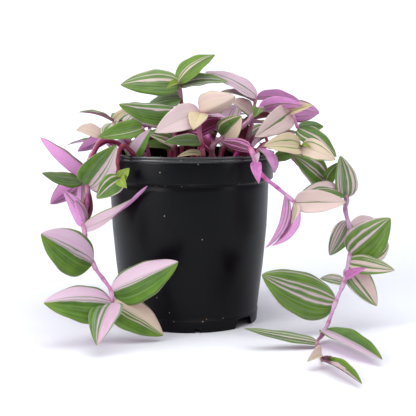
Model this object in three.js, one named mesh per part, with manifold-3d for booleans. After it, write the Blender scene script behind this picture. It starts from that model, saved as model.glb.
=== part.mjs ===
// A pink-variegated tradescantia in its nursery pot. Millimetres, +Z up.
// The origin is the centre of the pot's base, on the surface it stands on; -Y is the front.
// The pot is one moulded shell. It is filled with soil, and each leafy stem stands in a hole in
// the soil. Stems are round tubes with a swollen sheath at each leaf; leaves are thin, folded,
// arched blades with an egg-shaped outline, each joined to its stem.
import * as THREE from "three";
import { mergeVertices } from "three/addons/utils/BufferGeometryUtils.js";
import Module from "manifold-3d";

const wasm = await Module();
wasm.setup();

// Driving dimensions.
const potHeight = 131;
const lipRadius = 65.6;
const collarRadius = 64.8;
const collarBottom = 110.4;
const footRadius = 52.5;
const wall = 1.6;
const floorThickness = 1.5;
const shelfHeight = 8; // the underside of the ring round the floor, where water drains
const centreRadius = 30; // the flat disc in the middle of the floor, which the pot stands on
const potSides = 20;
const soilSides = 20;
const soilLevel = 114;
const clearance = 0.35; // between pieces that meet
const bladeThickness = 0.8;
const stemRadius = 1.9; // where the stem leaves the soil
const stemTipRadius = 1.15;
const stemSides = 5;

const green = 0x5e9a2e;
const degrees = Math.PI / 180;
const vector = ([x, y, z]) => new THREE.Vector3(x, y, z);

// A closed geometry as a solid that can be joined and cut, and back.
function solidOf(geometry) {
  const bare = new THREE.BufferGeometry();
  bare.setAttribute("position", geometry.getAttribute("position"));
  bare.setIndex(geometry.index);
  const merged = mergeVertices(bare, 1e-4);
  return new wasm.Manifold(
    new wasm.Mesh({
      numProp: 3,
      vertProperties: merged.getAttribute("position").array,
      triVerts: new Uint32Array(merged.index.array),
    }),
  );
}

function geometryOf(solid) {
  const { vertProperties, triVerts } = solid.getMesh();
  const geometry = new THREE.BufferGeometry();
  geometry.setAttribute("position", new THREE.BufferAttribute(vertProperties, 3));
  geometry.setIndex(new THREE.BufferAttribute(triVerts, 1));
  geometry.computeVertexNormals();
  return geometry;
}

function geometryFrom(points, triangles) {
  const geometry = new THREE.BufferGeometry().setFromPoints(points);
  geometry.setIndex(triangles.flat());
  return geometry;
}

function named(name, solid, color, roughness) {
  const material = new THREE.MeshStandardMaterial({ color, roughness, metalness: 0 });
  const mesh = new THREE.Mesh(geometryOf(solid), material);
  mesh.name = name;
  return mesh;
}

// A closed profile of [radius, height] pairs, turned round the Z axis.
function turned(profile, sides) {
  const points = profile.map(([radius, height]) => new THREE.Vector2(radius, height));
  return new THREE.LatheGeometry(points, sides).rotateX(Math.PI / 2);
}

// --- Pot -----------------------------------------------------------------------------------

// The body's outer wall bulges slightly: [height, radius], from the foot band to the shoulder.
const bodyWall = [
  [9.8, 52.9],
  [44, 57.2],
  [73, 59.9],
  [95, 60.9],
  [106, 61.2],
];
const innerWall = [bodyWall[2], bodyWall[1]];

function potShell() {
  const outside = [
    [footRadius, 0],
    [footRadius + 0.9, 9.2],
    ...bodyWall.map(([height, radius]) => [radius, height]),
    [60.6, 109.2],
    [62.4, collarBottom],
    [64.2, collarBottom],
    [collarRadius, collarBottom + 1.2],
    [collarRadius, potHeight - 4.4],
    [lipRadius, potHeight - 3.9],
    [lipRadius, potHeight],
  ];
  const inside = [
    [lipRadius - 3, potHeight],
    [collarRadius - wall, potHeight - 3.5],
    [collarRadius - wall, collarBottom + 1.5],
    [59.6, 107.5],
    ...innerWall.map(([height, radius]) => [radius - wall, height]),
    [footRadius - wall, shelfHeight + floorThickness],
  ];
  const floorTop = shelfHeight + floorThickness;
  const ramp = shelfHeight; // the floor slopes at 45 degrees between the disc and the ring
  const base = [
    [centreRadius + ramp, floorTop],
    [centreRadius, floorThickness],
    [0, floorThickness],
    [0, 0],
    [centreRadius + 0.6, 0],
    [centreRadius + ramp + 0.6, shelfHeight],
    [footRadius - 2, shelfHeight],
    [footRadius - 2, 0],
    [footRadius, 0],
  ];
  return solidOf(turned([...outside, ...inside, ...base], potSides));
}

// A cutter along a radius of the pot: the outline stands upright, and width runs round the pot.
function radialCutter(outline, from, to, azimuth) {
  const shape = new THREE.Shape(outline.map(([x, y]) => new THREE.Vector2(x, y)));
  const geometry = new THREE.ExtrudeGeometry(shape, { depth: to - from, bevelEnabled: false });
  geometry.translate(0, 0, from);
  geometry.rotateX(Math.PI / 2);
  return solidOf(geometry.rotateZ(azimuth * degrees));
}

function pot() {
  const largeNotch = [[-11, -1], [11, -1], [8.5, 5.6], [6.5, 7.4], [-6.5, 7.4], [-8.5, 5.6]];
  const smallNotch = [[-2, -1], [2, -1], [1.6, 3], [-1.6, 3]];
  const largeNotchAzimuth = 52; // from the front towards +X
  const smallNotchAzimuth = 6;
  const drainHole = new THREE.CylinderGeometry(4, 4, 6, 12).rotateX(Math.PI / 2);
  drainHole.translate(0, -44.5, shelfHeight + floorThickness / 2);
  let shell = potShell();
  for (let turn = 0; turn < 360; turn += 90) {
    const large = largeNotchAzimuth + turn;
    shell = shell.subtract(radialCutter(largeNotch, 48, 56, large));
    shell = shell.subtract(radialCutter(smallNotch, 48, 56, smallNotchAzimuth + turn));
    shell = shell.subtract(solidOf(drainHole.clone().rotateZ(large * degrees)));
  }
  return shell;
}

// --- Soil ----------------------------------------------------------------------------------

// The soil fills the pot to soilLevel, a clearance inside its wall, and its top is lumpy.
function soilPlug() {
  const inner = (radius) => radius - wall - clearance;
  const floorTop = shelfHeight + floorThickness + clearance;
  const side = innerWall.toReversed().map(([height, radius]) => [inner(radius), height]);
  const rings = [40, 20].map((radius) => [radius, soilLevel]);
  const profile = [
    [0, floorThickness + clearance],
    [centreRadius - 0.6, floorThickness + clearance],
    [centreRadius + shelfHeight - 0.6, floorTop],
    [inner(footRadius), floorTop],
    ...side,
    [inner(61.2), 107],
    [inner(61.2) - 1, soilLevel],
    ...rings,
    [0, soilLevel],
  ];
  const geometry = turned(profile, soilSides);
  const position = geometry.getAttribute("position");
  for (let i = 0; i < position.count; i += 1) {
    if (position.getZ(i) < soilLevel - 1) continue;
    const x = position.getX(i);
    const y = position.getY(i);
    position.setZ(i, soilLevel + soilLump(x, y));
  }
  return solidOf(geometry);
}

function soilLump(x, y) {
  return 1.4 * Math.sin(0.21 * x + 0.9) * Math.cos(0.17 * y) + 0.9 * Math.sin(0.43 * y - 0.3 * x);
}

// --- Leafy stems ---------------------------------------------------------------------------

// A stem follows a smooth curve through its nodes. The first two are its root, in the soil.
function stemCurve(route) {
  return new THREE.CatmullRomCurve3(route.map(vector), false, "catmullrom", 0.5);
}

// The stem thins evenly from root to tip, and swells into a short sheath at each node:
// [share of the span, swell]. The root's own span is straight.
const ringsPerSpan = [[0, 1.3], [0.45, 1]];

function stemTube(route, grow = 0) {
  const curve = stemCurve(route);
  const spans = route.length - 1;
  const rings = [];
  for (let span = 0; span < spans; span += 1) {
    const shares = span === 0 ? ringsPerSpan.slice(0, 1) : ringsPerSpan;
    for (const [share, swell] of shares) rings.push([span + share, swell]);
  }
  rings.push([spans, 1]);
  const points = [];
  let side = new THREE.Vector3(1, 0, 0);
  for (const [at, swell] of rings) {
    const centre = curve.getPoint(at / spans);
    const tangent = curve.getTangent(at / spans);
    side = side.addScaledVector(tangent, -side.dot(tangent)).normalize();
    const other = tangent.clone().cross(side);
    const thin = stemRadius + (stemTipRadius - stemRadius) * (at / spans);
    const radius = thin * swell + grow;
    for (let k = 0; k < stemSides; k += 1) {
      const angle = (2 * Math.PI * k) / stemSides;
      const spoke = side.clone().multiplyScalar(Math.cos(angle) * radius);
      points.push(spoke.addScaledVector(other, Math.sin(angle) * radius).add(centre));
    }
  }
  const triangles = [];
  for (let ring = 0; ring + 1 < rings.length; ring += 1) {
    for (let k = 0; k < stemSides; k += 1) {
      const a = ring * stemSides + k;
      const b = ring * stemSides + ((k + 1) % stemSides);
      triangles.push([a, b, b + stemSides], [a, b + stemSides, a + stemSides]);
    }
  }
  const last = (rings.length - 1) * stemSides;
  for (let k = 1; k + 1 < stemSides; k += 1) {
    triangles.push([0, k + 1, k], [last, last + k, last + k + 1]);
  }
  return solidOf(geometryFrom(points, triangles));
}

// Half the blade's width at a share of its length, as a share of the greatest: an egg shape
// with a broad round foot, widest at a third of its length, and a pointed tip.
function ovate(share) {
  const along = 0.001 + 0.999 * share;
  return (along ** 0.38 * (1 - along) ** 0.8) / 0.4764;
}

// A leaf's frame: along the blade, across it, and out of its upper face.
function leafFrame(leaf) {
  const along = leaf.tip.clone().sub(leaf.base);
  const length = along.length();
  along.normalize();
  const across = along.clone().cross(leaf.face).normalize();
  const out = across.clone().cross(along);
  return { along, across, out, length };
}

const longStations = [0, 0.07, 0.33, 0.7];
const shortStations = [0, 0.12, 0.52];
const shortLeaf = 40;

// The blade from a share of its length to the tip. Its two halves rise from the midrib by the
// fold, the midrib bows by the arch, and the whole turns about its length by the twist.
function blade(leaf, from = 0, grow = 0) {
  const { along, across, out, length } = leafFrame(leaf);
  const fold = leaf.fold * degrees;
  const depth = bladeThickness / 2 + grow;
  const stations = length < shortLeaf ? shortStations : longStations;
  const points = [];
  for (const station of [...stations, 1]) {
    const share = from + (1 - from) * station;
    const turn = leaf.twist * degrees * share;
    const flat = across.clone().multiplyScalar(Math.cos(turn)).addScaledVector(out, Math.sin(turn));
    const up = out.clone().multiplyScalar(Math.cos(turn)).addScaledVector(across, -Math.sin(turn));
    const middle = leaf.base.clone().addScaledVector(along, (length + grow) * share);
    middle.addScaledVector(out, leaf.arch * length * 4 * share * (1 - share));
    const halfWidth = (ovate(share) * leaf.width) / 2 + grow;
    for (const edge of station === 1 ? [0] : [-1, 0, 1]) {
      const point = middle.clone().addScaledVector(flat, edge * Math.cos(fold) * halfWidth);
      point.addScaledVector(up, Math.abs(edge) * Math.sin(fold) * halfWidth);
      const normal = up.clone().multiplyScalar(edge ? Math.cos(fold) : 1 / Math.cos(fold));
      normal.addScaledVector(flat, -edge * Math.sin(fold));
      points.push(point.clone().addScaledVector(normal, depth));
      points.push(point.addScaledVector(normal, -depth));
    }
  }
  return solidOf(geometryFrom(points, bladeTriangles(stations.length)));
}

// Even numbers are the upper face and odd ones the lower, three across at each station.
function bladeTriangles(rows) {
  const triangles = [];
  const both = (a, b, c) => triangles.push([a, b, c], [c + 1, b + 1, a + 1]);
  const edge = (a, b) => triangles.push([a, b, b + 1], [a, b + 1, a + 1]);
  for (let row = 0; row + 1 < rows; row += 1) {
    const [left, middle, right] = [6 * row, 6 * row + 2, 6 * row + 4];
    both(left, middle, left + 6);
    both(middle, middle + 6, left + 6);
    both(middle, right, right + 6);
    both(middle, right + 6, middle + 6);
    edge(left, left + 6);
    edge(right + 6, right);
  }
  const end = 6 * (rows - 1);
  const tip = 6 * rows;
  both(end, end + 2, tip);
  both(end + 2, end + 4, tip);
  edge(end, tip);
  edge(tip, end + 4);
  edge(2, 0);
  edge(4, 2);
  return triangles;
}

// Leaves crowd each other, so each may turn in its sheath: the first of these turns that is
// clear of everything is taken. [sideways in its own plane, towards its upper face], degrees.
const turns = [
  [0, 0], [0, 7], [0, -7], [8, 0], [-8, 0], [0, 14], [0, -14], [10, 9], [-10, 9], [10, -9],
  [-10, -9], [17, 0], [-17, 0], [0, 22], [0, -22], [18, 15], [-18, 15], [18, -15], [-18, -15],
  [28, 0], [-28, 0], [0, 32], [0, -32], [28, 24], [-28, 24], [28, -24], [-28, -24],
];

function turnedLeaf(leaf, [sideways, upwards]) {
  const { across, out } = leafFrame(leaf);
  const reach = leaf.tip.clone().sub(leaf.base);
  reach.applyAxisAngle(out, sideways * degrees).applyAxisAngle(across, upwards * degrees);
  const face = out.clone().applyAxisAngle(across, upwards * degrees);
  return { ...leaf, tip: reach.add(leaf.base), face };
}

function boxesMeet(a, b) {
  return [0, 1, 2].every((axis) => a.min[axis] < b.max[axis] && b.min[axis] < a.max[axis]);
}

function isClear(body, box, others) {
  return others.every(
    (other) => !boxesMeet(box, other.box) || body.intersect(other.solid).volume() < 1e-6,
  );
}

const withBox = (solid) => ({ solid, box: solid.boundingBox() });

// Share of a blade in and beside its sheath, where it may touch its own stem and leaves.
const inSheath = 0.26;
const aboveSurface = 0.45;

function placedLeaf(leaf, stem, placed) {
  const own = placed.filter((item) => item.stem === stem);
  const foreign = placed.filter((item) => item.stem !== stem);
  for (const turn of turns) {
    const candidate = turnedLeaf(leaf, turn);
    const whole = blade(candidate, 0.04, clearance);
    const box = whole.boundingBox();
    if (box.min[2] < aboveSurface || !isClear(whole, box, foreign)) continue;
    if (isClear(blade(candidate, inSheath, clearance), box, own)) return blade(candidate);
  }
  return null;
}

// Each leafy stem: its route from root to tip, then its leaves. A leaf is
// [place along the route, tip x, y, z, width, upper face towards x, y, z, arch, fold, twist].
const drawnStems = {
  stem_crown: {
    route: [[-6, 2, 102], [-6, 2, 116], [-6, 1, 140], [-6, 0, 167], [-8, -2, 184]],
    leaves: [
      [4, 20, 8, 205, 20, -0.35, -0.75, 0.55, 0.09, 14, 0],
      [4, -52, -12, 182, 23, 0, -0.9, 0.45, 0.06, -10, 0],
      [3.8, 30, 4, 184, 20, 0, -0.5, 0.85, 0.08, 15, 0],
      [3.8, -17, -22, 179.5, 10, 0.2, -0.6, 0.7, 0.15, 40, 0],
      [3.3, -34, 8, 165, 22, 0, -0.6, 0.8, 0.1, -10, 0],
      [2, -27, -6, 141, 14, 0, -0.5, 0.8, 0.1, 20, 0],
      [2.5, -32, 6, 150, 16, 0, 0.9, 0.4, 0.1, 15, 0],
      [1.8, 20, -2, 145, 16, 0, 0.9, 0.4, 0.1, 15, 0],
    ],
  },
  stem_centre_left: {
    route: [[-16, -10, 102], [-16, -10, 116], [-12, -12, 138], [-9, -14, 163]],
    leaves: [
      [3, -52, -32, 168, 28, 0, -0.8, 0.6, -0.02, -32, 0],
      [2.8, -43, -4, 157, 18, 0, 0.8, 0.6, 0.08, 15, 0],
      [2, -32, -28, 146, 12, 0, -0.9, 0.4, 0.1, 20, 0],
      [1.8, -38, -18, 135, 12, 0, -0.6, 0.7, 0.12, 25, 0],
      [2.4, 6, -8, 152, 14, 0, 0.9, 0.4, 0.1, 15, 0],
    ],
  },
  stem_front: {
    route: [[6, -20, 102], [6, -20, 116], [10, -25, 129], [7, -30, 151], [8, -32, 162]],
    leaves: [
      [4, 2.6, -51, 150, 15, 0, -0.8, 0.6, 0.08, 12, 0],
      [4, -25, -50, 148, 21, -0.1, -1, 0.25, 0.08, 10, 0],
      [4, 33, -50, 174, 27, -0.1, -0.84, -0.54, 0.08, -40, 0],
      [3.7, 37, -23, 157, 13, 0, -0.3, 1, 0.06, 15, 0],
      [2, -9, -47, 130, 8, 0, -0.8, 0.6, 0.08, 35, 0],
      [2.5, -18.5, -41, 140, 12, 0, -0.8, 0.6, 0.06, 15, 0],
      [2.8, 28, -12, 154, 16, 0, 0.9, 0.4, 0.1, 15, 0],
    ],
  },
  stem_left: {
    route: [[-42, -14, 102], [-42, -14, 116], [-48, -18, 135], [-54, -22, 146], [-57, -22, 155]],
    leaves: [
      [4, -82, -30, 162, 14, 0.1, -0.1, 1, 0.08, 20, 0],
      [4, -41, -16, 164, 8, 0, -0.7, 0.7, 0.1, 30, 0],
    ],
  },
  stem_left_inner: {
    route: [[-28, -20, 102], [-28, -20, 116], [-32, -26, 137], [-35, -27, 151]],
    leaves: [
      [3, -67, -40, 144, 15, 0.1, -0.9, 0.4, 0.08, 12, 0],
    ],
  },
  stem_left_low: {
    route: [[-38, -28, 102], [-38, -28, 116], [-44, -33, 127]],
    leaves: [
      [2, -29, -42, 150, 13, 0, -1, 0.2, 0.1, 20, 0],
    ],
  },
  stem_rim_left: {
    route: [
      [-34, -38, 102], [-34, -38, 116], [-42, -43, 133], [-49, -48, 138], [-52, -51, 127],
      [-50, -53, 115],
    ],
    leaves: [
      [5, -67, -58, 101, 16, 0, -1, 0.2, 0.1, 10, 0],
      [5, -43, -58, 123, 10, 0, -1, 0.2, 0.1, 30, 0],
      [5, -39, -64, 111, 9, 0, -1, 0.3, 0.1, 20, 0],
    ],
  },
  trailing_left_long: {
    route: [
      [-36, -4, 102], [-36, -4, 116], [-52, -9, 136], [-66, -14, 139], [-74, -18, 126],
      [-77, -20, 106], [-77, -26, 93], [-79, -35, 78], [-70, -59, 54], [-62, -68, 44],
      [-56, -75, 37], [-55, -79, 29],
    ],
    leaves: [
      [5, -50, -35, 143, 28, 0.1, -1, 0.1, 0.06, 14, 0],
      [8, -103, -88, 80, 35, 0, -0.92, 0.4, 0.05, -22, 0],
      [10, -8, -88, 60, 35, 0.1, -0.85, 0.55, 0.06, -34, 0],
      [11, -101, -96, 33, 35, -0.1, -0.85, 0.6, 0.12, -30, 0],
      [11, -62, -118, 4, 23, -0.1, -0.65, 0.75, 0.08, 12, 0],
      [11, -19, -76, 4.5, 27, 0.3, -0.85, 0.5, 0.06, -12, 0],
      [7.1, -30, -66, 111, 14, -0.3, -0.9, 0.3, -0.12, 20, 100],
      [7, -93, -28, 104, 14, 0.3, 1, 0, 0.08, 20, 0],
      [7, -84, -40, 99, 9, 0.1, 1, 0.1, 0.1, 25, 0],
      [6.8, -77, -14, 104, 10, 0.2, 1, 0.1, 0.08, 15, 0],
    ],
  },
  trailing_left_high: {
    route: [
      [-30, 8, 102], [-30, 8, 116], [-48, 5, 137], [-64, 1, 144], [-76, -3, 128],
      [-82, -5, 110],
    ],
    leaves: [
      [5, -115, -2, 142, 22, 0.6, 0.7, 0.3, -0.1, 40, 0],
      [5, -110, -30, 117, 15, 0, -0.8, 0.6, -0.04, -12, 0],
      [5, -106, -16, 92, 18, 0, 1, 0.2, 0.12, 25, 0],
      [5, -84, -26, 84, 12, 0.2, 1, 0, 0.1, 20, 0],
      [3, -54, 32, 152, 16, -0.2, 0.3, 1, 0.1, 15, 0],
    ],
  },
  stem_back_left: {
    route: [[-26, 22, 102], [-26, 22, 116], [-48, 18, 138], [-68, 14, 141]],
    leaves: [
      [3, -90, 24, 146, 14, 0, -0.9, 0.5, 0.15, 40, 0],
      [2.8, -88, 14, 130, 13, 0, 0.9, 0.4, 0.1, 20, 0],
      [2, -62, 48, 146, 22, -0.1, 0.4, 1, 0.1, 14, 0],
    ],
  },
  stem_right_arching: {
    route: [
      [22, -12, 102], [22, -12, 116], [17, -21, 134], [25, -24, 143], [40, -20, 151],
      [53, -12, 164], [66, -8, 166], [77, -6, 161], [83, -10, 149],
    ],
    leaves: [
      [3, 38, -34, 163, 21, -0.3, -0.9, 0.2, 0.06, 14, 0],
      [5, 85, -21, 166.5, 14, 0, 0.8, 0.5, 0.1, 15, 0],
      [7, 93, -20, 167, 10, 0, -0.9, 0.4, 0.1, 30, 0],
      [7, 48, -38, 144, 20, 0.2, -1, 0.1, 0.08, 12, 0],
      [7, 99, -10, 161.5, 18, -0.1, 0.95, 0.2, 0.06, 10, 0],
      [8, 104, 2, 150, 10, 0, -0.95, 0.3, 0.06, 12, 0],
      [8, 110, -15, 125, 21, 0.4, -0.7, 0.55, 0.13, -10, 0],
      [6.8, 101, 6, 160, 15, 0.2, 1, 0.1, 0.08, 15, 0],
      [5, 48, -30, 158, 10, 0, -0.9, 0.4, 0.1, 20, 0],
      [2, 0, -4, 146, 13, 0, 0.9, 0.3, 0.1, 15, 0],
    ],
  },
  stem_back_right: {
    route: [[36, 12, 102], [36, 12, 116], [46, 14, 140], [52, 12, 172]],
    leaves: [
      [3, 12, 16, 192, 19, -0.2, -0.5, 0.85, 0.08, 16, 0],
      [2.9, 26, 0, 180, 15, 0, -0.4, 0.9, 0.06, 15, 0],
      [2.6, 31.5, -3, 170, 15, 0, -0.85, 0.5, 0.06, 12, 0],
      [3, 90, 20, 166, 18, 0.2, 0.6, 0.8, 0.09, 14, 0],
      [2, 76, 34, 146, 22, 0.3, 0.3, 0.9, 0.1, 14, 0],
      [2.1, 18, 6, 153, 18, 0, 0.9, 0.3, 0.1, 15, 0],
    ],
  },
  stem_right_front: {
    route: [[42, -26, 102], [42, -26, 116], [54, -28, 135], [72, -28, 142], [84, -23, 136]],
    leaves: [
      [4, 54, -46, 138, 18, 0, -1, 0.4, 0.08, 14, 0],
      [4, 90, -34, 135.5, 6, 0, -0.8, 0.5, 0.1, 45, 0],
      [4, 108, -38, 127, 17, 0, -1, 0.3, 0.1, 14, 0],
      [2, 62, -46, 118, 16, -0.6, 0.6, -0.5, -0.22, 15, 0],
      [1.7, 28, -14, 133, 14, 0, 0.9, 0.4, 0.1, 15, 0],
    ],
  },
  trailing_front_right: {
    route: [
      [28, -32, 102], [28, -32, 116], [37, -41, 135], [44, -51, 136], [49, -58, 123],
      [54, -60, 116], [63, -61, 109], [76, -60, 98],
    ],
    leaves: [
      [3, 22, -58, 142, 11, 0, 1, 0.3, 0.1, 15, 0],
      [3.4, 48, -68, 127, 9, 0.2, -0.9, 0.3, 0.1, 50, 0],
      [3.7, 49, -72, 113, 9, 0, 1, -0.2, -0.1, -25, 0],
      [7, 112, -66, 99, 19, 0, -0.95, 0.3, -0.1, 25, 0],
      [6.5, 54, -68, 66, 9, 0.6, 0.6, 0.4, 0.2, 25, 0],
      [7, 56, -70, 70, 12, 0.6, 0.6, -0.45, 0.25, 20, 0],
      [7, 72, -72, 84, 7, 0.2, -1, 0, 0.1, 30, 0],
    ],
  },
  trailing_right_long: {
    route: [
      [42, -8, 102], [42, -8, 116], [56, -11, 136], [70, -13, 137], [84, -11, 122],
      [98, -9, 113], [110, -14, 104], [119, -20, 97], [118, -24, 88], [121, -32, 71],
      [120, -38, 56], [114, -48, 37], [107, -58, 25], [100, -70, 12], [94, -80, 5],
      [89, -94, 3], [87, -138, 2.8],
    ],
    leaves: [
      [5.4, 80, -30, 130, 22, 0, -0.9, 0.4, 0.06, 12, 0],
      [3.5, 60, -26, 129, 12, 0, -0.7, 0.7, 0.06, 12, 0],
      [5.6, 113, -18, 126, 11, -0.2, -0.8, 0.5, 0.1, 20, 0],
      [7, 114, -20, 129, 19, 0.2, -1, 0.1, 0.08, 12, 0],
      [7, 77, -36, 96, 18, 0, -0.6, 0.8, 0.2, 16, 0],
      [10, 146, -56, 86, 30, -0.3, -1, 0.1, 0.06, -10, 0],
      [8.5, 106, -28, 52, 16, -0.1, -1, 0, 0.06, 14, 0],
      [9, 143, -8, 79, 15, 0, -0.9, 0.4, 0.08, 14, 0],
      [10, 158, -10, 62, 24, 0, -1, 0.3, 0.08, 12, 0],
      [10.3, 154, -46, 53, 16, 0, -0.8, 0.5, 0.06, 14, 0],
      [10.8, 128, -64, 51, 8, 0, 0.9, -0.4, -0.1, -30, 0],
      [10.4, 139, -48, 19, 19, -0.1, -1, 0, 0.08, 14, 0],
      [11, 97, -43, 39, 9, 0, -0.8, 0.5, 0.1, 20, 0],
      [12, 51, -80, 49, 39, 0, -0.85, 0.53, -0.02, -24, 0],
      [15, 37.5, -99, 15, 14, 0, -0.35, 1, -0.02, 16, 0],
      [13.5, 125, -145, 5, 22, 0.1, -0.5, 0.9, 0.02, 14, 0],
      [16, 104, -192, 3, 13, 0, -0.2, 1, 0.03, 35, 0],
      [16, 75, -153, 6, 15, 0.2, -0.5, 0.8, 0.25, 45, 0],
    ],
  },
};

// The rest of the crown grows by a rule, round the back: [azimuth from +X towards +Y, radius of
// the root, spans of stem beyond the rim]. Stems with none stay inside the rim, upright.
const ruledStems = [
  [30, 48, 1], [48, 34, 1], [66, 40, 4], [86, 30, 6], [104, 42, 3], [117, 33, 4], [146, 42, 1],
  [70, 16, 0], [122, 22, 0], [10, 22, 0],
];

// An even spread of numbers from 0 to 1, the same on every run.
function spread(seed) {
  const value = Math.sin(seed * 12.9898 + 4.1) * 43758.5453;
  return value - Math.floor(value);
}

function ruledStem(azimuth, rootRadius, spans, seed) {
  const at = (radius, height, sway = 0) => {
    const angle = (azimuth + sway) * degrees;
    return [radius * Math.cos(angle), radius * Math.sin(angle), height];
  };
  const sway = 8 * (spread(seed) - 0.5);
  const top = 6 * spread(seed + 1);
  const route = [at(rootRadius, 102), at(rootRadius, 116)];
  if (spans === 0) {
    route.push(at(rootRadius + 5, 132 + top, sway), at(rootRadius + 8, 146 + top, 2 * sway));
  } else {
    route.push(at(rootRadius + 10, 138 + top), at(68, 146 + top, sway));
  }
  for (let span = 1; span <= spans; span += 1) {
    const share = span / (span + 2);
    route.push(at(70 + 26 * share, 150 - 21 * span + top, sway + 3 * Math.sin(2 * span + seed)));
  }
  return { route, leaves: ruledLeaves(route, spans, seed) };
}

// One leaf at each node, left and right in turn, and a pair at the tip.
function ruledLeaves(route, spans, seed) {
  const leaves = [];
  const ends = route.length - 1;
  const places = [...Array(ends - 1).keys()].map((node) => node + 2);
  for (const [turn, at] of [...places, ends].entries()) {
    const [x, y, z] = route[at];
    const chance = (step) => spread(seed * 7 + turn * 3 + step);
    const heading = Math.atan2(y, x) + (turn % 2 ? -1 : 1) * (0.5 + 0.7 * chance(0));
    const length = 36 + 13 * chance(1);
    const level = spans === 0 ? 0.75 : 0.95;
    const rise = spans === 0 ? 0.05 + 0.3 * chance(2) : 0.4 * chance(2) - 0.25;
    leaves.push([
      at,
      x + length * level * Math.cos(heading),
      y + length * level * Math.sin(heading),
      Math.max(z + length * rise, 8),
      length * (0.46 + 0.1 * chance(3)),
      0.35 * Math.cos(heading + Math.PI * (spans === 0 ? 1 : 0)),
      0.35 * Math.sin(heading + Math.PI * (spans === 0 ? 1 : 0)),
      1,
      0.06 + 0.08 * chance(4),
      12 + 10 * chance(5),
      0,
    ]);
  }
  return leaves;
}

function allStems() {
  const stems = { ...drawnStems };
  ruledStems.forEach(([azimuth, radius, spans], i) => {
    stems[`stem_back_${i + 1}`] = ruledStem(azimuth, radius, spans, 31 + 17 * i);
  });
  return Object.entries(stems).map(([name, { route, leaves }]) => {
    const spans = route.length - 1;
    const rows = leaves.map(([at, x, y, z, width, faceX, faceY, faceZ, arch, fold, twist]) => ({
      base: stemCurve(route).getPoint(at / spans),
      tip: new THREE.Vector3(x, y, z),
      face: new THREE.Vector3(faceX, faceY, faceZ),
      width,
      arch,
      fold,
      twist,
    }));
    return { name, route, leaves: rows, tube: stemTube(route) };
  });
}

// --- The whole plant -----------------------------------------------------------------------

const plant = new THREE.Group();
plant.name = "potted_tradescantia";

const stems = allStems();
let soil = soilPlug();
for (const stem of stems) soil = soil.subtract(stemTube(stem.route, clearance));
const shell = pot();

const placed = [shell, soil].map(withBox);
for (const stem of stems) placed.push({ ...withBox(stem.tube), stem });
for (const stem of stems) {
  let body = stem.tube;
  for (const leaf of stem.leaves) {
    const solid = placedLeaf(leaf, stem, placed);
    if (!solid) continue;
    placed.push({ ...withBox(solid), stem });
    body = body.add(solid);
  }
  stem.body = body;
}

plant.add(named("pot", shell, 0x1a1a1e, 0.42));
plant.add(named("soil", soil, 0x3b2a20, 0.95));
for (const stem of stems) plant.add(named(stem.name, stem.body, green, 0.45));

export default plant;
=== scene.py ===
import math
from functools import partial

import bpy
import numpy as np
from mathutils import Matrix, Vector


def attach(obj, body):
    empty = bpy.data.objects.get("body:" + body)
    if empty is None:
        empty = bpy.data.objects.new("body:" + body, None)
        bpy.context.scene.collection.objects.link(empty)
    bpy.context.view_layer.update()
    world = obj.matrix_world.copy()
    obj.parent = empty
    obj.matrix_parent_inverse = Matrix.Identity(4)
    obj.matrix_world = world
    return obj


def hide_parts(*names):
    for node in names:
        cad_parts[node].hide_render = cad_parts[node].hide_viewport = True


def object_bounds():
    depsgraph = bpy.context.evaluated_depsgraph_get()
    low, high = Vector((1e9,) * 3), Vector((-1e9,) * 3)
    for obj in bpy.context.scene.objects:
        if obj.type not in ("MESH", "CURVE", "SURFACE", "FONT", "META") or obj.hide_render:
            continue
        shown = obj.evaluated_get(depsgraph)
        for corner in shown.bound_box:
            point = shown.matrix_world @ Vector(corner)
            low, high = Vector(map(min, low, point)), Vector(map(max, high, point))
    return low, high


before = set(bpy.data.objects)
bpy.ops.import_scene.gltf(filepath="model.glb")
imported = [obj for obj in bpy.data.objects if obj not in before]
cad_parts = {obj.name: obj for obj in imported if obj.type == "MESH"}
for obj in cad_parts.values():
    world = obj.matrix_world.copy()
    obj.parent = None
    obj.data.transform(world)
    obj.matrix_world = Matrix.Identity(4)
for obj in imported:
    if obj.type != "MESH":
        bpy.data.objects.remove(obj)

cad_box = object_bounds()
scene = bpy.context.scene
scene.view_settings.view_transform = "Standard"

# --- View --------
# A long lens a little above the pot, looking slightly down and to the right.

lens = bpy.data.cameras.new("camera")
lens.sensor_width = 36
lens.lens = 88.27
camera = bpy.data.objects.new("camera", lens)
camera.location = (0, -0.7888, 0.185)
camera.rotation_euler = (math.radians(90 - 7.1), 0, math.radians(-1.04))
scene.collection.objects.link(camera)
scene.camera = camera

# --- Floor and light --------
# A white paper sweep that runs flat under the pot and rises in one round bend behind it, lit by
# soft boxes: a broad one at the front left, one overhead, and a weaker one at the right.


def linear(colour):
    """The linear RGBA of an sRGB hex colour: c / 12.92 below 0.04045, ((c + 0.055) / 1.055) ** 2.4
    above it."""
    parts = [int(colour[i : i + 2], 16) / 255 for i in (1, 3, 5)]
    return [*(c / 12.92 if c < 0.04045 else ((c + 0.055) / 1.055) ** 2.4 for c in parts), 1.0]


def add_node(tree, kind, inputs=None, **settings):
    """A new shader node with its settings. inputs gives, by socket, a value, a hex colour, or the
    socket or node that feeds it. A node feeds it from the first of its outputs in use."""
    node = tree.nodes.new("ShaderNode" + kind)
    for name, value in settings.items():
        setattr(node, name, value)
    for name, value in (inputs or {}).items():
        if isinstance(value, bpy.types.Node):
            value = next(output for output in value.outputs if output.enabled)
        if isinstance(value, bpy.types.NodeSocket):
            tree.links.new(value, node.inputs[name])
        else:
            node.inputs[name].default_value = linear(value) if isinstance(value, str) else value
    return node


def made_of(name, recipe, **values):
    """A material. Its recipe adds the nodes and gives the surface."""
    material = bpy.data.materials.new(name)
    material.use_nodes = True
    material.node_tree.nodes.clear()
    add = partial(add_node, material.node_tree)
    add("OutputMaterial", {"Surface": recipe(add, **values)})
    return material


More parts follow.
